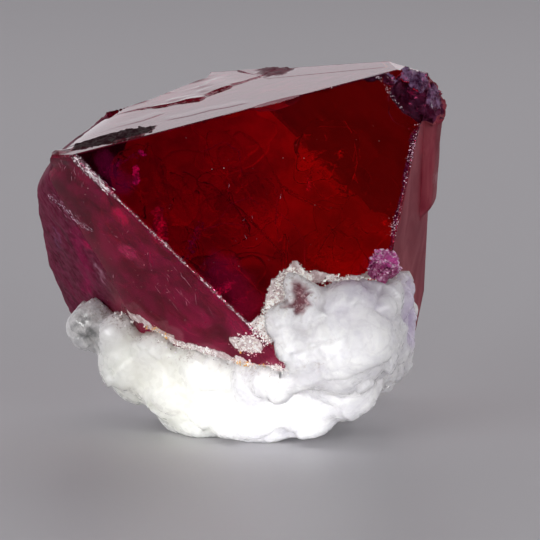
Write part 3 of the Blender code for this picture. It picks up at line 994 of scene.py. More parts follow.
def dusty_parts(points, on):
    """Crumbly crust along the contact with the rock, open at the window."""
    dusty = np.zeros(len(points))
    for name, line in (("front", CONTACT_FRONT), ("lower_left", CONTACT_LEFT)):
        reach = line_gap(face_uv(points, name), line[:-1]) + 0.22 * fractal_noise(points, 0.35, 3, 71)
        dusty = np.maximum(dusty, ramp(-reach, -0.50, -0.05) * on[name])
    for name, patch in (("front", CRUST_FRONT), ("lower_left", CRUST_LEFT)):
        flat = face_uv(points, name) + 0.34 * fractal_noise(points, 0.55, 3, 73)[:, None]
        cover = ramp(patch_depth(flat, patch), -0.12, 0.22)
        if name == "front":
            cover *= 1.0 - ramp(patch_depth(flat, WINDOW), -0.05, 0.12)
        dusty = np.maximum(dusty, cover * on[name])
    return dusty


def crystal_masks(body):
    """The numbers per vertex that the crystal's material reads."""
    points, gap, flank = body.points, body.gap, body.flank
    shaky = seen_at(points) + 4.0 * fractal_noise(points, 0.7, 3, 87)[:, None]
    grain = body.proud & (points[:, 2] > 15.2 * MM) & (patch_depth(shaky, RIDGE) > 0.0)
    broken = body.inside * (points[:, 0] > CORNER_NEAR)
    clean = (1.0 - body.wear) * (1.0 - broken)
    ledge = fade(-gap["right"], -0.06, 0.0)
    on = {name: fade(-np.abs(gap[name]), -0.10, -0.02) for name in FACE}
    beside = ramp(patch_depth(shaky, HOLLOW_SEEN), -2.0, 2.0) * (gap["right"] < 0.3 * MM)
    beside = beside * ~grain * (points[:, 0] > CORNER_NEAR)
    hidden = [on[name] for name in HIDDEN]
    return {
        "wear": body.wear,
        "blush": body.blush,
        "haze": np.max([0.52 * on["lower_left"], 0.75 * flank, 0.50 * ledge, 0.10 * body.on_top], 0) * clean,
        "lilac": flank * fade(-points[:, 0], 5.6, 7.6),
        "streak": ledge * ~grain * clean,
        "spot": body.spot,
        # painted shade on the front face's left; its right keeps the painted red glow
        "bloom": on["front"] * fade(-points[:, 0], -3.5, 3.0),
        "on_front": on["front"] * (1.0 - body.wear),
        "purple": np.max([broken, beside, body.proud & ~grain & (gap["right"] > 0.06 * MM)], 0),
        "grain": grain,
        "etched": np.max([0.95 * flank, 0.6 * fade(-gap["right"], -0.08, -0.02), *hidden], 0),
        "shade": (on["back"] + on["back_right"] + on["under"]) * (1.0 - flank),
        "dirt": body.pit,
        "dusty": dusty_parts(points, on),
    }


def paint_marks(mesh, points, normals):
    """Strokes of colour where the camera sees them."""
    shaky = seen_at(points) + 8.0 * drift(points, 0.5, 4, 89, 0.7)
    marked, paint = np.zeros(len(points)), np.zeros((len(points), 4), np.float32)
    for line, width, colour in MARKS:
        here = ramp(-line_gap(shaky, line), -width, 0.3 * width) * facing(normals)
        marked = np.maximum(marked, here)
        paint[here > 0.0] = (*colour, 1.0)
    add_attribute(mesh, "marked", marked)
    mesh.color_attributes.new("mark", "FLOAT_COLOR", "POINT").data.foreach_set("color", paint.ravel())


def build_crystal():
    """The spinel: the CAD body with a fine mesh, chipped edges and growth relief."""
    features = []
    for name, line in (
        ("top", TERRACE), ("top", FINE_STEP), ("top", FINE_STEP_2), ("front", CRUST_FRONT + WINDOW),
        ("lower_left", CRUST_LEFT + CRUST_LEFT[:1]), ("front", HOLLOW_RIM), ("top", PIT + PIT[:1]),
        ("top", DARK_SPOT + DARK_SPOT[:1]),
    ):
        features += sampled(name, line)
    bm = node_bmesh("spinel_crystal")
    mesh = refine(bm, features, [FACE["top"][0], *HULL_N[FLANK]])
    bm.free()
    body = SimpleNamespace(mesh=mesh, points=coords(mesh), normals=vertex_normals(mesh))
    body.height, body.nearest = hull_height(body.points)
    body.gap = {name: plane_gap(body.points, name) for name in FACE}
    for step in (break_corner, fill_edges, relieve_top, round_flank, soften_sides, wear_edges):
        step(body)
    masks = crystal_masks(body)
    for name, values in masks.items():
        add_attribute(mesh, name, values)
    set_coords(mesh, body.points)
    normals = vertex_normals(mesh)
    # Painted sheen: the ledge's walls that face the front are painted lighter.
    add_attribute(mesh, "wall", masks["streak"] * ramp(-normals[:, 1], 0.30, 0.80))
    paint_marks(mesh, body.points, normals)
    mesh.shade_smooth()
    mesh.set_sharp_from_angle(angle=CRYSTAL_SHARP)
    add_piece("spinel_body", mesh, spinel_material(), "spinel_crystal")


# ---------------------------------------------------------------- the calcite and the pink grain
CALCITE_VOXEL, PINK_VOXEL = 0.125 * MM, 0.035 * MM
PINK_SHARP = math.radians(24.0)
SOCKET_LAP = 0.05 * MM  # how far the socket wall goes into the crystal, which leaves no gap
WINDOW_DENT = 0.28 * MM


def remeshed(name, voxel):
    """Voxel remesh of a CAD node as a new mesh."""
    bm = node_bmesh(name)
    mesh = bpy.data.meshes.new(name + "_fine")
    bm.to_mesh(mesh)
    bm.free()
    item = new_object(name + "_fine", mesh)
    fuse = item.modifiers.new("fuse", "REMESH")
    fuse.mode = "VOXEL"
    fuse.voxel_size = voxel
    graph = bpy.context.evaluated_depsgraph_get()
    out = bpy.data.meshes.new_from_object(item.evaluated_get(graph))
    bpy.data.objects.remove(item, do_unlink=True)
    return out


def ball_mask(points, centre, radius, soft=0.5):
    """1 inside a ball given in millimetres, fading out around it."""
    away = np.linalg.norm(points - np.array(centre) * MM, axis=1) / MM
    return ramp(-away, -radius - soft, -radius + soft)


def break_grains(points, mesh):
    """Coarse and fine cleavage facets with grooves between them, and the height over the crystal."""
    height, _ = hull_height(points)
    free = fade(height, 0.36, 0.9)
    upward = fade(points[:, 2], 0.02, 0.5)
    points = relax(points, mesh, 0.5 * free * upward, 4)
    set_coords(mesh, points)
    warp = points + 0.35 * MM * drift(points, 1.5, 2, 70, axes=3)
    coarse = facets(warp, 2.1, 81, 0.13, 0.045, 0.20, 1.0)
    small = facets(warp, 0.62, 91, 0.14, 0.012, 0.09, 1.0)
    rough = 0.03 * MM * fractal_noise(points, 0.5, 3, 95)
    patch = ramp(fractal_noise(points, 2.6, 2, 97), -0.05, 0.45)
    patch = np.maximum(patch, 0.8 * fade(-height, -1.3, -0.6))
    move = (coarse + (small + rough) * patch) * free * upward
    return points + vertex_normals(mesh) * move[:, None], height, upward


def build_calcite():
    """The calcite lump: coarse grains with cleavage facets and a crumbly rim on the crystal."""
    mesh = remeshed("calcite_matrix", CALCITE_VOXEL)
    points, height, upward = break_grains(coords(mesh), mesh)
    normals = vertex_normals(mesh)

    # the socket wall meets the crystal, with a crumbly lip
    above, nearest = hull_height(points)
    pull = np.clip(above + SOCKET_LAP, 0.0, None) * fade(-height, -0.42, -0.33)
    points = points - HULL_N[nearest] * pull[:, None]
    lip = fade(height, 0.2, 0.34) * fade(-height, -1.1, -0.4)
    points = points + normals * (0.10 * MM * fractal_noise(points, 0.28, 3, 99) * lip * upward)[:, None]
    points[:, 2] = np.maximum(points[:, 2], 0.0)
    set_coords(mesh, points)
    normals = vertex_normals(mesh)

    # a dark ragged window is dented into the front
    shaky = seen_at(points) + 15.0 * drift(points, 0.55, 4, 105, 0.75)
    window = ramp(patch_depth(shaky, WINDOW_SEEN), -4.0, 5.0) * facing(normals)
    peak = ramp(-np.linalg.norm(seen_at(points) - CRUST_PEAK, axis=1), -34.0, -16.0)
    crust = lip * ramp(fractal_noise(points, 1.2, 3, 101), -0.4, 0.2)
    add_attribute(mesh, "crust", np.maximum(crust, 0.75 * peak))
    faint = 0.55 * ball_mask(points, (4.6, -7.8, 7.8), 1.6, 1.2)
    add_attribute(mesh, "lavender", np.maximum(ball_mask(points, (7.1, -4.8, 6.4), 1.9), faint))
    add_attribute(mesh, "window", window)
    points = points - normals * (WINDOW_DENT * window)[:, None]
    add_attribute(mesh, "glassy", ball_mask(points, (-8.0, -2.0, 5.0), 1.1))
    add_attribute(mesh, "green", ball_mask(points, (-4.6, -4.6, 2.6), 3.0, 2.2))
    set_coords(mesh, points)
    mesh.shade_smooth()
    add_piece("calcite_body", mesh, calcite_material(), "calcite_matrix")


# Where the crystal leaves the rock, the crust, its window and gold stains, in millimetres on the faces.
CONTACT_FRONT = (
    (5.64, -9.86), (6.38, -9.68), (6.67, -9.23), (7.13, -8.53), (7.74, -8.02), (8.59, -7.67),
    (8.76, -8.2), (9.88, -8.6), (10.52, -8.92), (11.57, -9.07), (12.55, -8.65), (13.46, -7.72),
)
CONTACT_LEFT = (
    (3.71, -10.2), (4.16, -10.15), (4.7, -8.84), (5.19, -7.85), (6.42, -7.03), (7.6, -5.79), (8.6, -5.58),
    (9.5, -5.19), (10.49, -4.26), (11.15, -3.57), (11.96, -2.83), (12.96, -1.99), (13.71, -0.85),
    (14.09, 0.34),
)
CRUST_FRONT = (
    (5.64, -9.86), (6.32, -9.56), (6.99, -8.68), (7.54, -8.16), (8.23, -7.86), (8.83, -7.83),
    (9.15, -8.4), (8.29, -9.24), (7.39, -10.2), (6.39, -10.88), (5.76, -10.71),
)
CRUST_LEFT = (
    (11.12, -1.69), (11.37, -0.65), (11.85, -0.27), (12.53, -0.35), (12.48, -1.15), (11.94, -2.01),
    (11.42, -2.1),
)
WINDOW = ((7.75, -9.3), (7.95, -8.5), (8.2, -8.2), (8.45, -8.6), (8.4, -9.3), (8.05, -9.8))
GOLD_SPOTS = ((12.3, -2.45), (12.9, -2.0), (8.35, -5.45))


def unit_ball(detail):
    """Vertices and faces of a unit icosphere."""
    bm = bmesh.new()
    bmesh.ops.create_icosphere(bm, subdivisions=detail, radius=1.0)
    verts = np.array([v.co for v in bm.verts])
    faces = np.array([[v.index for v in f.verts] for f in bm.faces])
    bm.free()
    return verts, faces


def scatter_mesh(name, parts, detail, rough, seed):
    """Many small rough lumps in one mesh, from the places, sizes, frames and colours of each."""
    places, sizes, frames, colours = map(np.array, parts)
    ball, faces = unit_ball(detail)
    rng = np.random.default_rng(seed)
    count = len(places)
    shift = rng.uniform(-50.0, 50.0, (count, 1, 3))
    local = np.repeat(ball[None], count, 0)
    bumps = smooth_noise((local * 1.4 + shift).reshape(-1, 3), 1.0, seed).reshape(count, -1, 1)
    local = local * (1.0 + rough * bumps) * sizes[:, None, :]
    world = np.einsum("nvj,nij->nvi", local, frames) + places[:, None, :]
    all_faces = (faces[None] + (np.arange(count) * len(ball))[:, None, None]).reshape(-1, 3)
    mesh = bpy.data.meshes.new(name)
    mesh.from_pydata(world.reshape(-1, 3).tolist(), [], all_faces.tolist())
    layer = mesh.color_attributes.new("tint", "FLOAT_COLOR", "POINT")
    rgba = np.concatenate([np.repeat(colours, len(ball), 0), np.ones((count * len(ball), 1))], 1)
    layer.data.foreach_set("color", np.ascontiguousarray(rgba, np.float32).ravel())
    return mesh


def random_frames(rng, count):
    """Random rotation matrices."""
    q = rng.normal(size=(count, 4))
    q /= np.linalg.norm(q, axis=1)[:, None]
    w, x, y, z = q.T
    return np.stack([
        np.stack([1 - 2 * (y * y + z * z), 2 * (x * y - z * w), 2 * (x * z + y * w)], 1),
        np.stack([2 * (x * y + z * w), 1 - 2 * (x * x + z * z), 2 * (y * z - x * w)], 1),
        np.stack([2 * (x * z - y * w), 2 * (y * z + x * w), 1 - 2 * (x * x + y * y)], 1),
    ], 1)


def along_line(line, rng, count, spread):
    """Random flat points beside a polyline."""
    line = np.array(line)
    steps = np.linalg.norm(np.diff(line, axis=0), axis=1)
    at = rng.uniform(0.0, steps.sum(), count)
    edges = np.r_[0.0, np.cumsum(steps)]
    flat = np.stack([np.interp(at, edges, line[:, k]) for k in (0, 1)], 1)
    return flat + rng.normal(size=flat.shape) * spread


def within_patch(patch, rng, count):
    """Random flat points inside a patch."""
    flat = rng.uniform(np.min(patch, 0), np.max(patch, 0), (count * 4, 2))
    return flat[patch_depth(flat, patch) > 0.0][:count]


def glowing_crumb_material():
    """Crumbly white crust with grey, dark and gold-brown specks, glowing a little: painted light that lifts
    it out of shade.
    """
    m = new_material("calcite_crumbs_painted_glow")
    p = m.place()
    tint = m.paint("tint")
    m.set(Base_Color=m.mix(m.noise(p, 6.0, 3.0, 0.6), tint, (0.90, 0.88, 0.85), "MULTIPLY"))
    # painted light: the crumbs glow in their own tint
    m.set(Roughness=0.32, IOR=1.58, Emission_Color=tint, Emission_Strength=0.20)
    m.set(Subsurface_Weight=1.0, Subsurface_Radius=(1.0, 1.0, 1.0), Subsurface_Scale=0.25 * MM)
    m.set(Normal=m.bump(m.noise(p, 12.0, 4.0, 0.7), 0.6, 0.03))
    return m.owner


def build_crumbs():
    """The crumbly crust where the crystal leaves the rock."""
    rng = np.random.default_rng(12)
    points = coords(bpy.data.objects["calcite_body"].data)
    rock = search_tree(points)
    groups = (
        ("front", along_line(CONTACT_FRONT, rng, 2200, 0.15), 0.0, 0.35),
        ("lower_left", along_line(CONTACT_LEFT, rng, 2800, 0.20), 0.0, 0.35),
        ("front", within_patch(CRUST_FRONT, rng, 2200), 0.01, 1.0),
        ("lower_left", within_patch(CRUST_LEFT, rng, 420), 0.01, 2.0),
    )
    places, colours = [], []
    for name, flat, out, reach in groups:
        flat = flat + rng.normal(size=flat.shape) * 0.10
        if name == "front":
            flat = flat[patch_depth(flat, WINDOW) < 0.05]
        for u, v in flat:
            where = face_point(name, u, v, out + rng.uniform(-0.03, 0.05))
            on_crystal = hull_height(where[None])[0][0] < 0.14 * MM
            if on_crystal and rock.find(where)[2] < reach * MM:
                places.append(where)
                gold = name == "lower_left" and min(math.dist((u, v), g) for g in GOLD_SPOTS) < 0.70
                colours.append(crumb_colour(rng, gold))
    height, _ = hull_height(points)
    lip = np.flatnonzero((height > 0.05 * MM) & (height < 0.45 * MM) & (points[:, 2] > 2.0 * MM))
    for k in rng.choice(lip, min(1500, len(lip)), replace=False):
        places.append(points[k] + rng.normal(size=3) * 0.02 * MM)
        colours.append(crumb_colour(rng, False))
    count = len(places)
    size = (0.010 + 0.060 * rng.uniform(0.0, 1.0, (count, 1)) ** 3.4) * MM
    sizes = size * rng.uniform(0.45, 1.2, (count, 3))
    mesh = scatter_mesh("crumbs", (places, sizes, random_frames(rng, count), colours), 1, 0.5, 7)
    add_piece("contact_crumbs", mesh, glowing_crumb_material())


def crumb_colour(rng, gold):
    """White mostly, some grey, brown and dark, gold where the rock is stained."""
    pick = rng.uniform()
    if gold and pick < 0.45:
        return (0.72, 0.38, 0.08)
    if pick < 0.70:
        return (0.95, 0.95, 0.93)
    if pick < 0.90:
        return (0.80, 0.77, 0.73)
    if pick < 0.96:
        return (0.50, 0.38, 0.36)
    return (0.16, 0.11, 0.11)


def dust_and_glint_material():
    """Pale dust and painted glints, glowing a little: painted light."""
    m = new_material("dust_and_glints")
    p = m.place()
    tint = m.paint("tint")
    # painted light: the dust and glints glow
    m.set(Base_Color=tint, Emission_Color=tint, Emission_Strength=0.22, Roughness=0.5)
    m.set(Normal=m.bump(m.noise(p, 20.0, 3.0, 0.6), 0.5, 0.01))
    return m.owner


# How high specks lie on a face, and the specks placed as in the photo, in millimetres.
SPECK_HEIGHT = 0.002
SPECKS_FRONT = (
    (6.13, -2.3), (6.69, -2.4), (6.99, -2.08), (8.28, -4.09), (7.0, -4.72), (11.15, -6.17), (11.01, -5.5),
    (10.57, -4.84), (10.32, -5.17), (7.44, -7.07), (6.0, -6.97), (12.61, -6.76), (12.93, -7.19),
    (14.15, -2.29), (14.21, -3.05), (14.75, -2.3), (15.76, -2.62), (10.31, -2.22), (9.53, -2.66),
    (10.49, -2.91), (14.49, -1.54), (8.38, -6.45), (8.62, -6.47), (3.74, -3.41), (5.39, -0.59),
    (2.7, -3.61),
)
SPECKS_LEFT = (
    (2.7, -2.96), (3.68, -2.88), (3.63, -3.65), (3.73, -2.23), (2.13, -3.11), (0.47, -2.23), (0.87, -1.25),
    (2.05, -1.06), (4.88, -3.69), (6.85, -4.73), (7.03, -2.65), (9.0, -3.31), (7.85, -2.97), (10.48, -3.07),
)
# Hair scratches: face, two corners of a rectangle, count, length, turn and its spread in degrees.
SCRATCHES = (
    ("lower_left", (7.0, -3.1), (9.6, -0.7), 15, 0.34, -30.0, 26.0),
    ("lower_left", (0.3, -4.0), (3.1, -3.2), 26, 0.20, -18.0, 22.0),
    ("lower_left", (-0.2, -1.6), (1.3, -0.4), 16, 0.16, -60.0, 25.0),
    ("lower_left", (1.6, -5.4), (7.6, -1.2), 22, 0.12, 0.0, 90.0),
    ("front", (5.4, -6.2), (9.4, -3.2), 8, 0.12, 60.0, 60.0),
)
# Painted glints, slivers on the edge between the front faces: from, to, spread, count, longest, in
# millimetres.
GLINT_SLIVERS = (
    (0.15, 1.0, 0.07, 26, 0.10),
    (1.0, 2.5, 0.080, 90, 0.30),
    (2.5, 8.0, 0.022, 110, 0.060),
    (8.0, 11.5, 0.040, 110, 0.070),
)
# Painted glints beside the right-hand edge: from, to, spread, count.
SPARKS = ((3.0, 8.8, 0.12, 120), (4.1, 5.2, 0.12, 60), (7.9, 8.8, 0.24, 60))
# A line of slivers on the lower left face, painted glints.
GLINT_SPRAY = ((0.45, -3.75), (1.3, -3.55), (2.1, -3.6), (3.0, -3.35))
# Faint specks all over: face, outline, count.
SPECK_AREAS = (
    ("front", ((1.5, -1.2), (16.0, -1.2), (13.5, -7.0), (8.0, -7.0), (5.5, -9.0)), 16),
    ("lower_left", ((0.6, -0.6), (11.0, -0.6), (9.0, -4.4), (5.5, -7.0), (3.0, -4.0)), 30),
)


def edge_glints(rng):
    """Painted glints: bright slivers along the worn edge between the two front faces, sparkles beside the
    right one.
    """
    way, out = (CORNER_C - CORNER_A) / EDGE, bisector("front", "lower_left")
    side = np.cross(way, out)
    found = []
    for low, high, spread, count, longest in GLINT_SLIVERS:
        for _ in range(count):
            at, off, turn = rng.uniform(low, high), rng.normal() * spread, rng.normal() * 0.22
            where = CORNER_A + (way * at + side * off - out * (0.052 + 0.5 * abs(off))) * MM
            c, s = math.cos(turn), math.sin(turn)
            frame = np.stack([way * c + side * s, side * c - way * s, out], 1)
            long = longest * rng.uniform(0.15, 1.0) ** 1.5
            size = np.array((long, min(0.032, 0.35 * long + 0.004), 0.008)) * MM
            found.append((where, size, frame, np.array((1.0, 0.90, 0.93)) * rng.uniform(0.45, 1.0)))
    for low, high, spread, count in SPARKS:
        for _ in range(count):
            at, off = rng.uniform(low, high), 0.03 + abs(rng.normal()) * spread
            where = face_point("front", EDGE_MM - COS_60 * at - SIN_60 * off, -SIN_60 * at + COS_60 * off)
            size = np.full(3, 0.006 + 0.024 * rng.uniform() ** 3.0) * MM
            frame = random_frames(rng, 1)[0]
            found.append((where, size, frame, np.array((1.0, 0.70, 0.86)) * rng.uniform(0.4, 1.0)))
    for u, v in along_line(GLINT_SPRAY, rng, 110, 0.10):
        size = np.array((rng.uniform(0.010, 0.060), rng.uniform(0.006, 0.016), 0.006)) * MM
        frame = flake_frame("lower_left", rng.uniform(-50.0, 10.0))
        colour = np.array((0.92, 0.66, 0.84)) * rng.uniform(0.2, 0.95)
        found.append((face_point("lower_left", u, v), size, frame, colour))
    return [np.array(part) for part in zip(*found)]


def dust_and_glint_specks(rng):
    """Fine specks of dust on the two front faces, glowing a little as painted light."""
    spots = [("front", SPECKS_FRONT), ("lower_left", SPECKS_LEFT)]
    spots += [(name, within_patch(patch, rng, count)) for name, patch, count in SPECK_AREAS]
    places = np.concatenate([face_points(name, flat, SPECK_HEIGHT) for name, flat in spots])
    count = len(places)
    size = (0.004 + 0.014 * rng.uniform(0.0, 1.0, (count, 1)) ** 1.6) * MM
    sizes = size * rng.uniform(0.5, 1.3, (count, 3))
    bright = rng.uniform(0.40, 0.95, (count, 1)) * np.array((1.0, 0.84, 0.87))
    return places, sizes, random_frames(rng, count), bright


def hair_scratches(rng, face, low, high, count, length, turn, spread):
    """Fine scratches over a rectangle of a face, drawn as faintly glowing lines: painted light."""
    flat = rng.uniform(low, high, (count, 2))
    frames = np.array([flake_frame(face, turn + rng.uniform(-spread, spread)) for _ in flat])
    long = length * rng.uniform(0.3, 1.2, count)
    sizes = np.stack([long, rng.uniform(0.004, 0.010, count), np.full(count, 0.004)], 1) * MM
    bright = rng.uniform(0.16, 0.60, (count, 1)) * np.array((1.0, 0.50, 0.70))
    return face_points(face, flat), sizes, frames, bright


def rim_sparkles(rng):
    """Painted glints: sparkles on the rim of the broken corner."""
    flat = along_line(HOLLOW_RIM[:5], rng, 60, 0.055)
    frames = random_frames(rng, len(flat))
    sizes = rng.uniform(0.005, 0.026, (len(flat), 3)) * MM
    bright = rng.uniform(0.35, 1.0, (len(flat), 1)) * np.array((1.0, 0.80, 0.90))
    return face_points("front", flat), sizes, frames, bright


def build_dust_and_glints():
    """Dust, hair scratches, sparkles and slivers on the crystal, as one mesh; all glow a little, painted
    light, and the sparkles and slivers are painted glints.
    """
    rng = np.random.default_rng(5)
    groups = [dust_and_glint_specks(rng)]
    groups += [hair_scratches(rng, *row) for row in SCRATCHES]
    groups += [rim_sparkles(rng), edge_glints(rng)]
    mesh = scatter_mesh("dust_and_glints", [np.concatenate(part) for part in zip(*groups)], 1, 0.35, 9)
    add_piece("dust_and_glint_specks", mesh, dust_and_glint_material())


# Clusters of small fractures inside: face, along, across, depth, half length, half width,
# turn in degrees, count, grain size, colour, which is also their painted glow.
CLUSTERS = (
    ("front", 2.71, -1.54, 0.30, 0.30, 0.12, 72, 230, 0.050, (0.95, 0.04, 0.30)),
    ("front", 2.60, -1.90, 0.30, 0.12, 0.10, 20, 90, 0.065, (1.00, 0.10, 0.42)),
    ("front", 3.25, -0.71, 0.35, 0.16, 0.10, 120, 60, 0.045, (0.70, 0.03, 0.36)),
    ("front", 2.30, -0.85, 0.45, 0.90, 0.14, 10, 90, 0.040, (0.26, 0.004, 0.13)),
    ("front", 5.08, -7.73, 0.35, 0.50, 0.20, 15, 150, 0.050, (0.75, 0.03, 0.18)),
    ("front", 4.35, -7.10, 0.45, 0.60, 0.16, -50, 90, 0.040, (0.40, 0.01, 0.10)),
    ("front", 3.10, -4.10, 0.60, 0.70, 0.26, 80, 120, 0.110, (0.55, 0.006, 0.065)),
    ("front", 4.45, -5.20, 0.80, 0.80, 0.20, 50, 130, 0.050, (0.22, 0.002, 0.09)),
    ("front", 5.60, -8.49, 0.40, 0.40, 0.20, 0, 60, 0.040, (0.40, 0.01, 0.10)),
    ("front", 10.54, -4.0, 1.0, 0.34, 0.10, 80, 50, 0.050, (0.42, 0.006, 0.06)),
    ("front", 12.38, -3.11, 1.1, 0.20, 0.16, 0, 40, 0.050, (0.40, 0.005, 0.01)),
    ("front", 13.56, -6.77, 1.2, 0.18, 0.16, 0, 40, 0.050, (0.50, 0.006, 0.01)),
    ("front", 10.20, -7.80, 1.2, 0.50, 0.50, 0, 60, 0.050, (0.34, 0.004, 0.01)),
    ("front", 11.2, -3.3, 1.4, 0.60, 0.60, 0, 60, 0.050, (0.30, 0.003, 0.01)),
)
# Curved lines of small grains in the front face.
ARCS = (
    ((8.70, -5.12), (9.21, -5.85), (9.37, -6.76), (9.03, -7.84)),
    ((8.74, -3.28), (8.85, -4.19), (8.34, -5.47), (8.27, -6.47)),
    ((3.93, -5.63), (4.89, -4.88), (5.94, -4.82), (7.07, -5.27)),
    ((5.62, -4.74), (6.57, -4.07), (7.48, -3.97), (8.23, -4.90)),
    ((6.08, -1.36), (7.13, -1.15), (7.67, -1.78), (7.50, -2.81)),
)
VEILS = 34
VEIL_COVER = 0.25 * MM  # the least crystal over a veil


def flake_frame(face, turn):
    """Frame of a flake lying along a face, turned in its plane."""
    _, along, across = face_axes(face)
    c, s = math.cos(math.radians(turn)), math.sin(math.radians(turn))
    return np.stack([along * c + across * s, across * c - along * s, FACE[face][0]], 1)


def glowing_flake_material():
    """Fracture inside the crystal, bright by painted light: it glows in its own colour."""
    m = new_material("spinel_fracture_painted_glow")
    p = m.place()
    tint = m.paint("tint")
    uneven = m.between(m.step(m.noise(p, 3.5, 4.0, 0.65), 0.35, 0.7), 0.25, 1.0)
    m.set(Base_Color=m.mix(uneven, (0.20, 0.0, 0.04), tint), Roughness=0.3)
    # painted light: the fractures glow in their tint
    m.set(Emission_Color=m.mix(uneven, (0.0, 0.0, 0.0), tint), Emission_Strength=0.75)
    return m.owner


def veil_material():
    """Healed fracture: a thin clear gap inside the crystal."""
    m = new_material("spinel_veil")
    p = m.place()
    m.set(Base_Color=(1.0, 0.90, 0.95), Transmission_Weight=1.0, IOR=1.07, Roughness=0.06)
    m.set(Normal=m.bump(m.noise(p, 2.5, 4.0, 0.6), 0.35, 0.05))
    return m.owner


def build_fractures():
    """Pink fractures just inside the two front faces, glowing with painted light."""
    rng = np.random.default_rng(21)
    found = []
    for face, u, v, depth, long, wide, turn, count, grain, colour in CLUSTERS:
        c, s = math.cos(math.radians(turn)), math.sin(math.radians(turn))
        for a, b in np.clip(rng.normal(size=(count, 2)), -1.9, 1.9) * (long * 0.6, wide * 0.6):
            where = face_point(face, u + a * c - b * s, v + a * s + b * c, -depth - rng.uniform(0.0, 0.25))
            frame = flake_frame(face, rng.uniform(0.0, 180.0))
            size = grain * rng.uniform(0.4, 1.3)
            size = (size, size * rng.uniform(0.4, 1.0), size * 0.35)
            found.append((where, size, frame, np.array(colour) * rng.uniform(0.25, 1.15)))
    for line in ARCS:
        for u, v in along_line(line, rng, 110, 0.022):
            frame = flake_frame("front", rng.uniform(0.0, 180.0))
            colour = np.array((0.24, 0.002, 0.035)) * rng.uniform(0.5, 1.0)
            found.append((face_point("front", u, v, -0.5), (0.028, 0.022, 0.010), frame, colour))
    places, sizes, frames, colours = zip(*found)
    parts = (places, np.array(sizes) * MM, frames, np.clip(colours, 0.0, 1.0))
    add_piece("inner_fractures", scatter_mesh("flakes", parts, 1, 0.3, 3), glowing_flake_material())


def build_veils():
    """Healed fractures deep inside: faint clear sheets."""
    rng = np.random.default_rng(8)
    places, frames = [], []
    while len(places) < VEILS:
        face = "front" if rng.uniform() < 0.65 else "lower_left"
        u, v = rng.uniform(1.0, 16.0), rng.uniform(-11.0, -0.8)
        where = face_point(face, u, v, -rng.uniform(1.8, 9.0))
        if hull_height(where[None])[0][0] < -1.6 * MM:
            places.append(where)
            tilt = np.array(Euler(rng.uniform(-0.6, 0.6, 3)).to_matrix())
            frames.append(tilt @ flake_frame(face, rng.uniform(0.0, 180.0)))
    sizes = [rng.uniform(low, high, VEILS) for low, high in ((0.6, 2.4), (0.4, 1.6), (0.05, 0.10))]
    mesh = scatter_mesh("veils", (places, np.stack(sizes, 1) * MM, frames, np.ones((VEILS, 3))), 4, 0.7, 4)
    points = coords(mesh)
    height, nearest = hull_height(points)
    over = np.clip(height + VEIL_COVER, 0.0, None)
    set_coords(mesh, points - HULL_N[nearest] * over[:, None])
    mesh.shade_smooth()
    add_piece("inner_veils", mesh, veil_material())


def build_pink():
    """The pink spinel grain: a knot of small bright facets."""
    mesh = remeshed("pink_spinel_grain", PINK_VOXEL)
    points = coords(mesh)
    normals = vertex_normals(mesh)
    for size, tilt, groove, seed in ((0.55, 0.42, 0.05, 3), (0.22, 0.40, 0.015, 8)):
        points = points + normals * facets(points, size, seed, tilt, groove, 0.06)[:, None]
    set_coords(mesh, points)
    x, y = (seen_at(points) + 5.0 * fractal_noise(points, 0.5, 2, 19)[:, None]).T
    add_attribute(mesh, "low", ramp(y - 0.35 * (x - 380.0), 258.0, 268.0))
    mesh.shade_smooth()
    mesh.set_sharp_from_angle(angle=PINK_SHARP)
    add_piece("pink_grain_body", mesh, pink_material(), "pink_spinel_grain")


# ---------------------------------------------------------------- stage, light and camera
def build_stage():
    """A plain pale floor."""
    bm = bmesh.new()
    bmesh.ops.create_grid(bm, x_segments=1, y_segments=1, size=1.5)
    mesh = bpy.data.meshes.new("floor")
    bm.to_mesh(mesh)
    bm.free()
    floor = new_object("floor", mesh, floor_material())
    floor.location.z = -0.02 * MM


def add_light(name, kind, place, back, power, **values):
    """A light at a place in metres, its back turned a given way."""
    data = bpy.data.lights.new(name, kind)
    data.energy = power
    for key, value in values.items():
        setattr(data, key, value)
    item = new_object(name, data)
    item.location = place
    item.rotation_euler = back.to_track_quat("Z", "Y").to_euler()


def area_light(name, azimuth, elevation, distance, size, power):
    """A soft area light aimed 6 mm above the origin, its azimuth 0 on the camera's side."""
    a, e = math.radians(azimuth), math.radians(elevation)
    back = Vector((math.sin(a) * math.cos(e), -math.cos(a) * math.cos(e), math.sin(e)))
    place = Vector((0, 0, 6)) * MM + back * distance * MM
    add_light(name, "AREA", place, back, power, shape="RECTANGLE", size=size[0] * MM, size_y=size[1] * MM)


def spot_light(name, place, target, cone, power):
    """A soft-edged spot between two points in millimetres."""
    back = Vector(place) - Vector(target)
    soft = {"spot_size": math.radians(cone), "spot_blend": 1.0, "shadow_soft_size": 6.0 * MM}
    add_light(name, "SPOT", Vector(place) * MM, back, power, **soft)


def mirror_way(name):
    """Direction that a face mirrors towards the camera."""
    normal = FACE[name][0]
    return 2.0 * (TO_CAMERA @ normal) * normal - TO_CAMERA


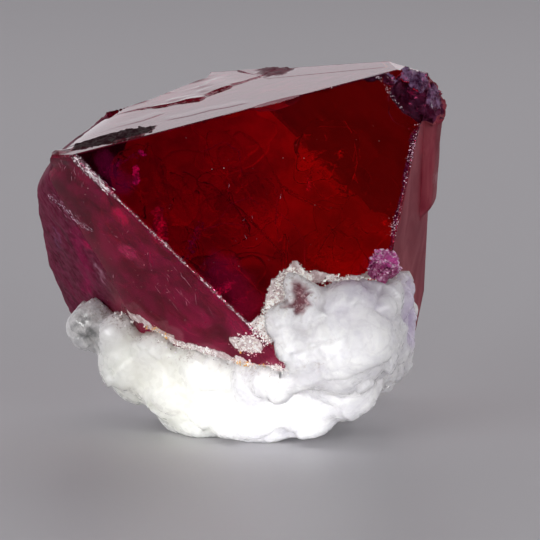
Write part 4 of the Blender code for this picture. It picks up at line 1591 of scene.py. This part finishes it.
def build_world():
    """Soft studio surroundings with a dark flag where the front face would mirror them."""
    world = bpy.data.worlds.new("studio")
    bpy.context.scene.world = world
    w = Nodes(world)
    way = w.add("ShaderNodeTexCoord", {}, "Generated")
    along, up = (w.add("ShaderNodeSeparateXYZ", {0: way}, axis) for axis in ("Y", "Z"))
    side = w.step(along, -0.4, 0.7, WORLD_FRONT, WORLD_BEHIND)
    height = w.step(up, 0.30, 0.70, 1.0, 0.38)
    flag = w.step(w.vector("DOT_PRODUCT", way, tuple(mirror_way("front")), "Value"), 0.80, 0.93, 1.0, 0.008)
    back = w.tree.nodes["Background"]
    w.link(w.times(w.times(side, height), flag), back.inputs["Strength"])
    w.link((1.0, 0.963, 1.01), back.inputs["Color"])


def build_camera():
    """The photo's viewing angle."""
    data = bpy.data.cameras.new("camera")
    data.sensor_width = 36.0
    data.lens = 18.0 / math.tan(CAMERA_FOV / 2.0)
    data.clip_start = 0.005
    data.clip_end = 10.0
    camera = new_object("camera", data)
    back = Vector(TO_CAMERA)
    camera.location = AIM + back * CAMERA_DISTANCE
    camera.rotation_euler = back.to_track_quat("Z", "Y").to_euler()
    bpy.context.scene.camera = camera


def settings():
    """Plain colour transform and enough bounces for clear crystal."""
    scene = bpy.context.scene
    scene.view_settings.view_transform = "Standard"
    scene.cycles.max_bounces = 24
    scene.cycles.transmission_bounces = 20
    scene.cycles.glossy_bounces = 8
    scene.cycles.diffuse_bounces = 4
    scene.cycles.transparent_max_bounces = 8
    scene.cycles.sample_clamp_indirect = 4.0
    scene.cycles.caustics_reflective = True
    scene.cycles.caustics_refractive = True


build_crystal()
build_calcite()
build_pink()
build_crumbs()
build_dust_and_glints()
build_fractures()
build_veils()
build_stage()
build_world()
area_light("low_left", -48, 10, 160, (110, 30), 0.10)
area_light("low_right", 44, 10, 160, (110, 30), 0.085)
area_light("behind_top", 175, 52, 220, (160, 110), 0.05)
spot_light("base_glow", (-8.0, -70.0, 5.0), (0.8, -8.0, -1.0), 12.5, 0.38)
build_camera()
settings()
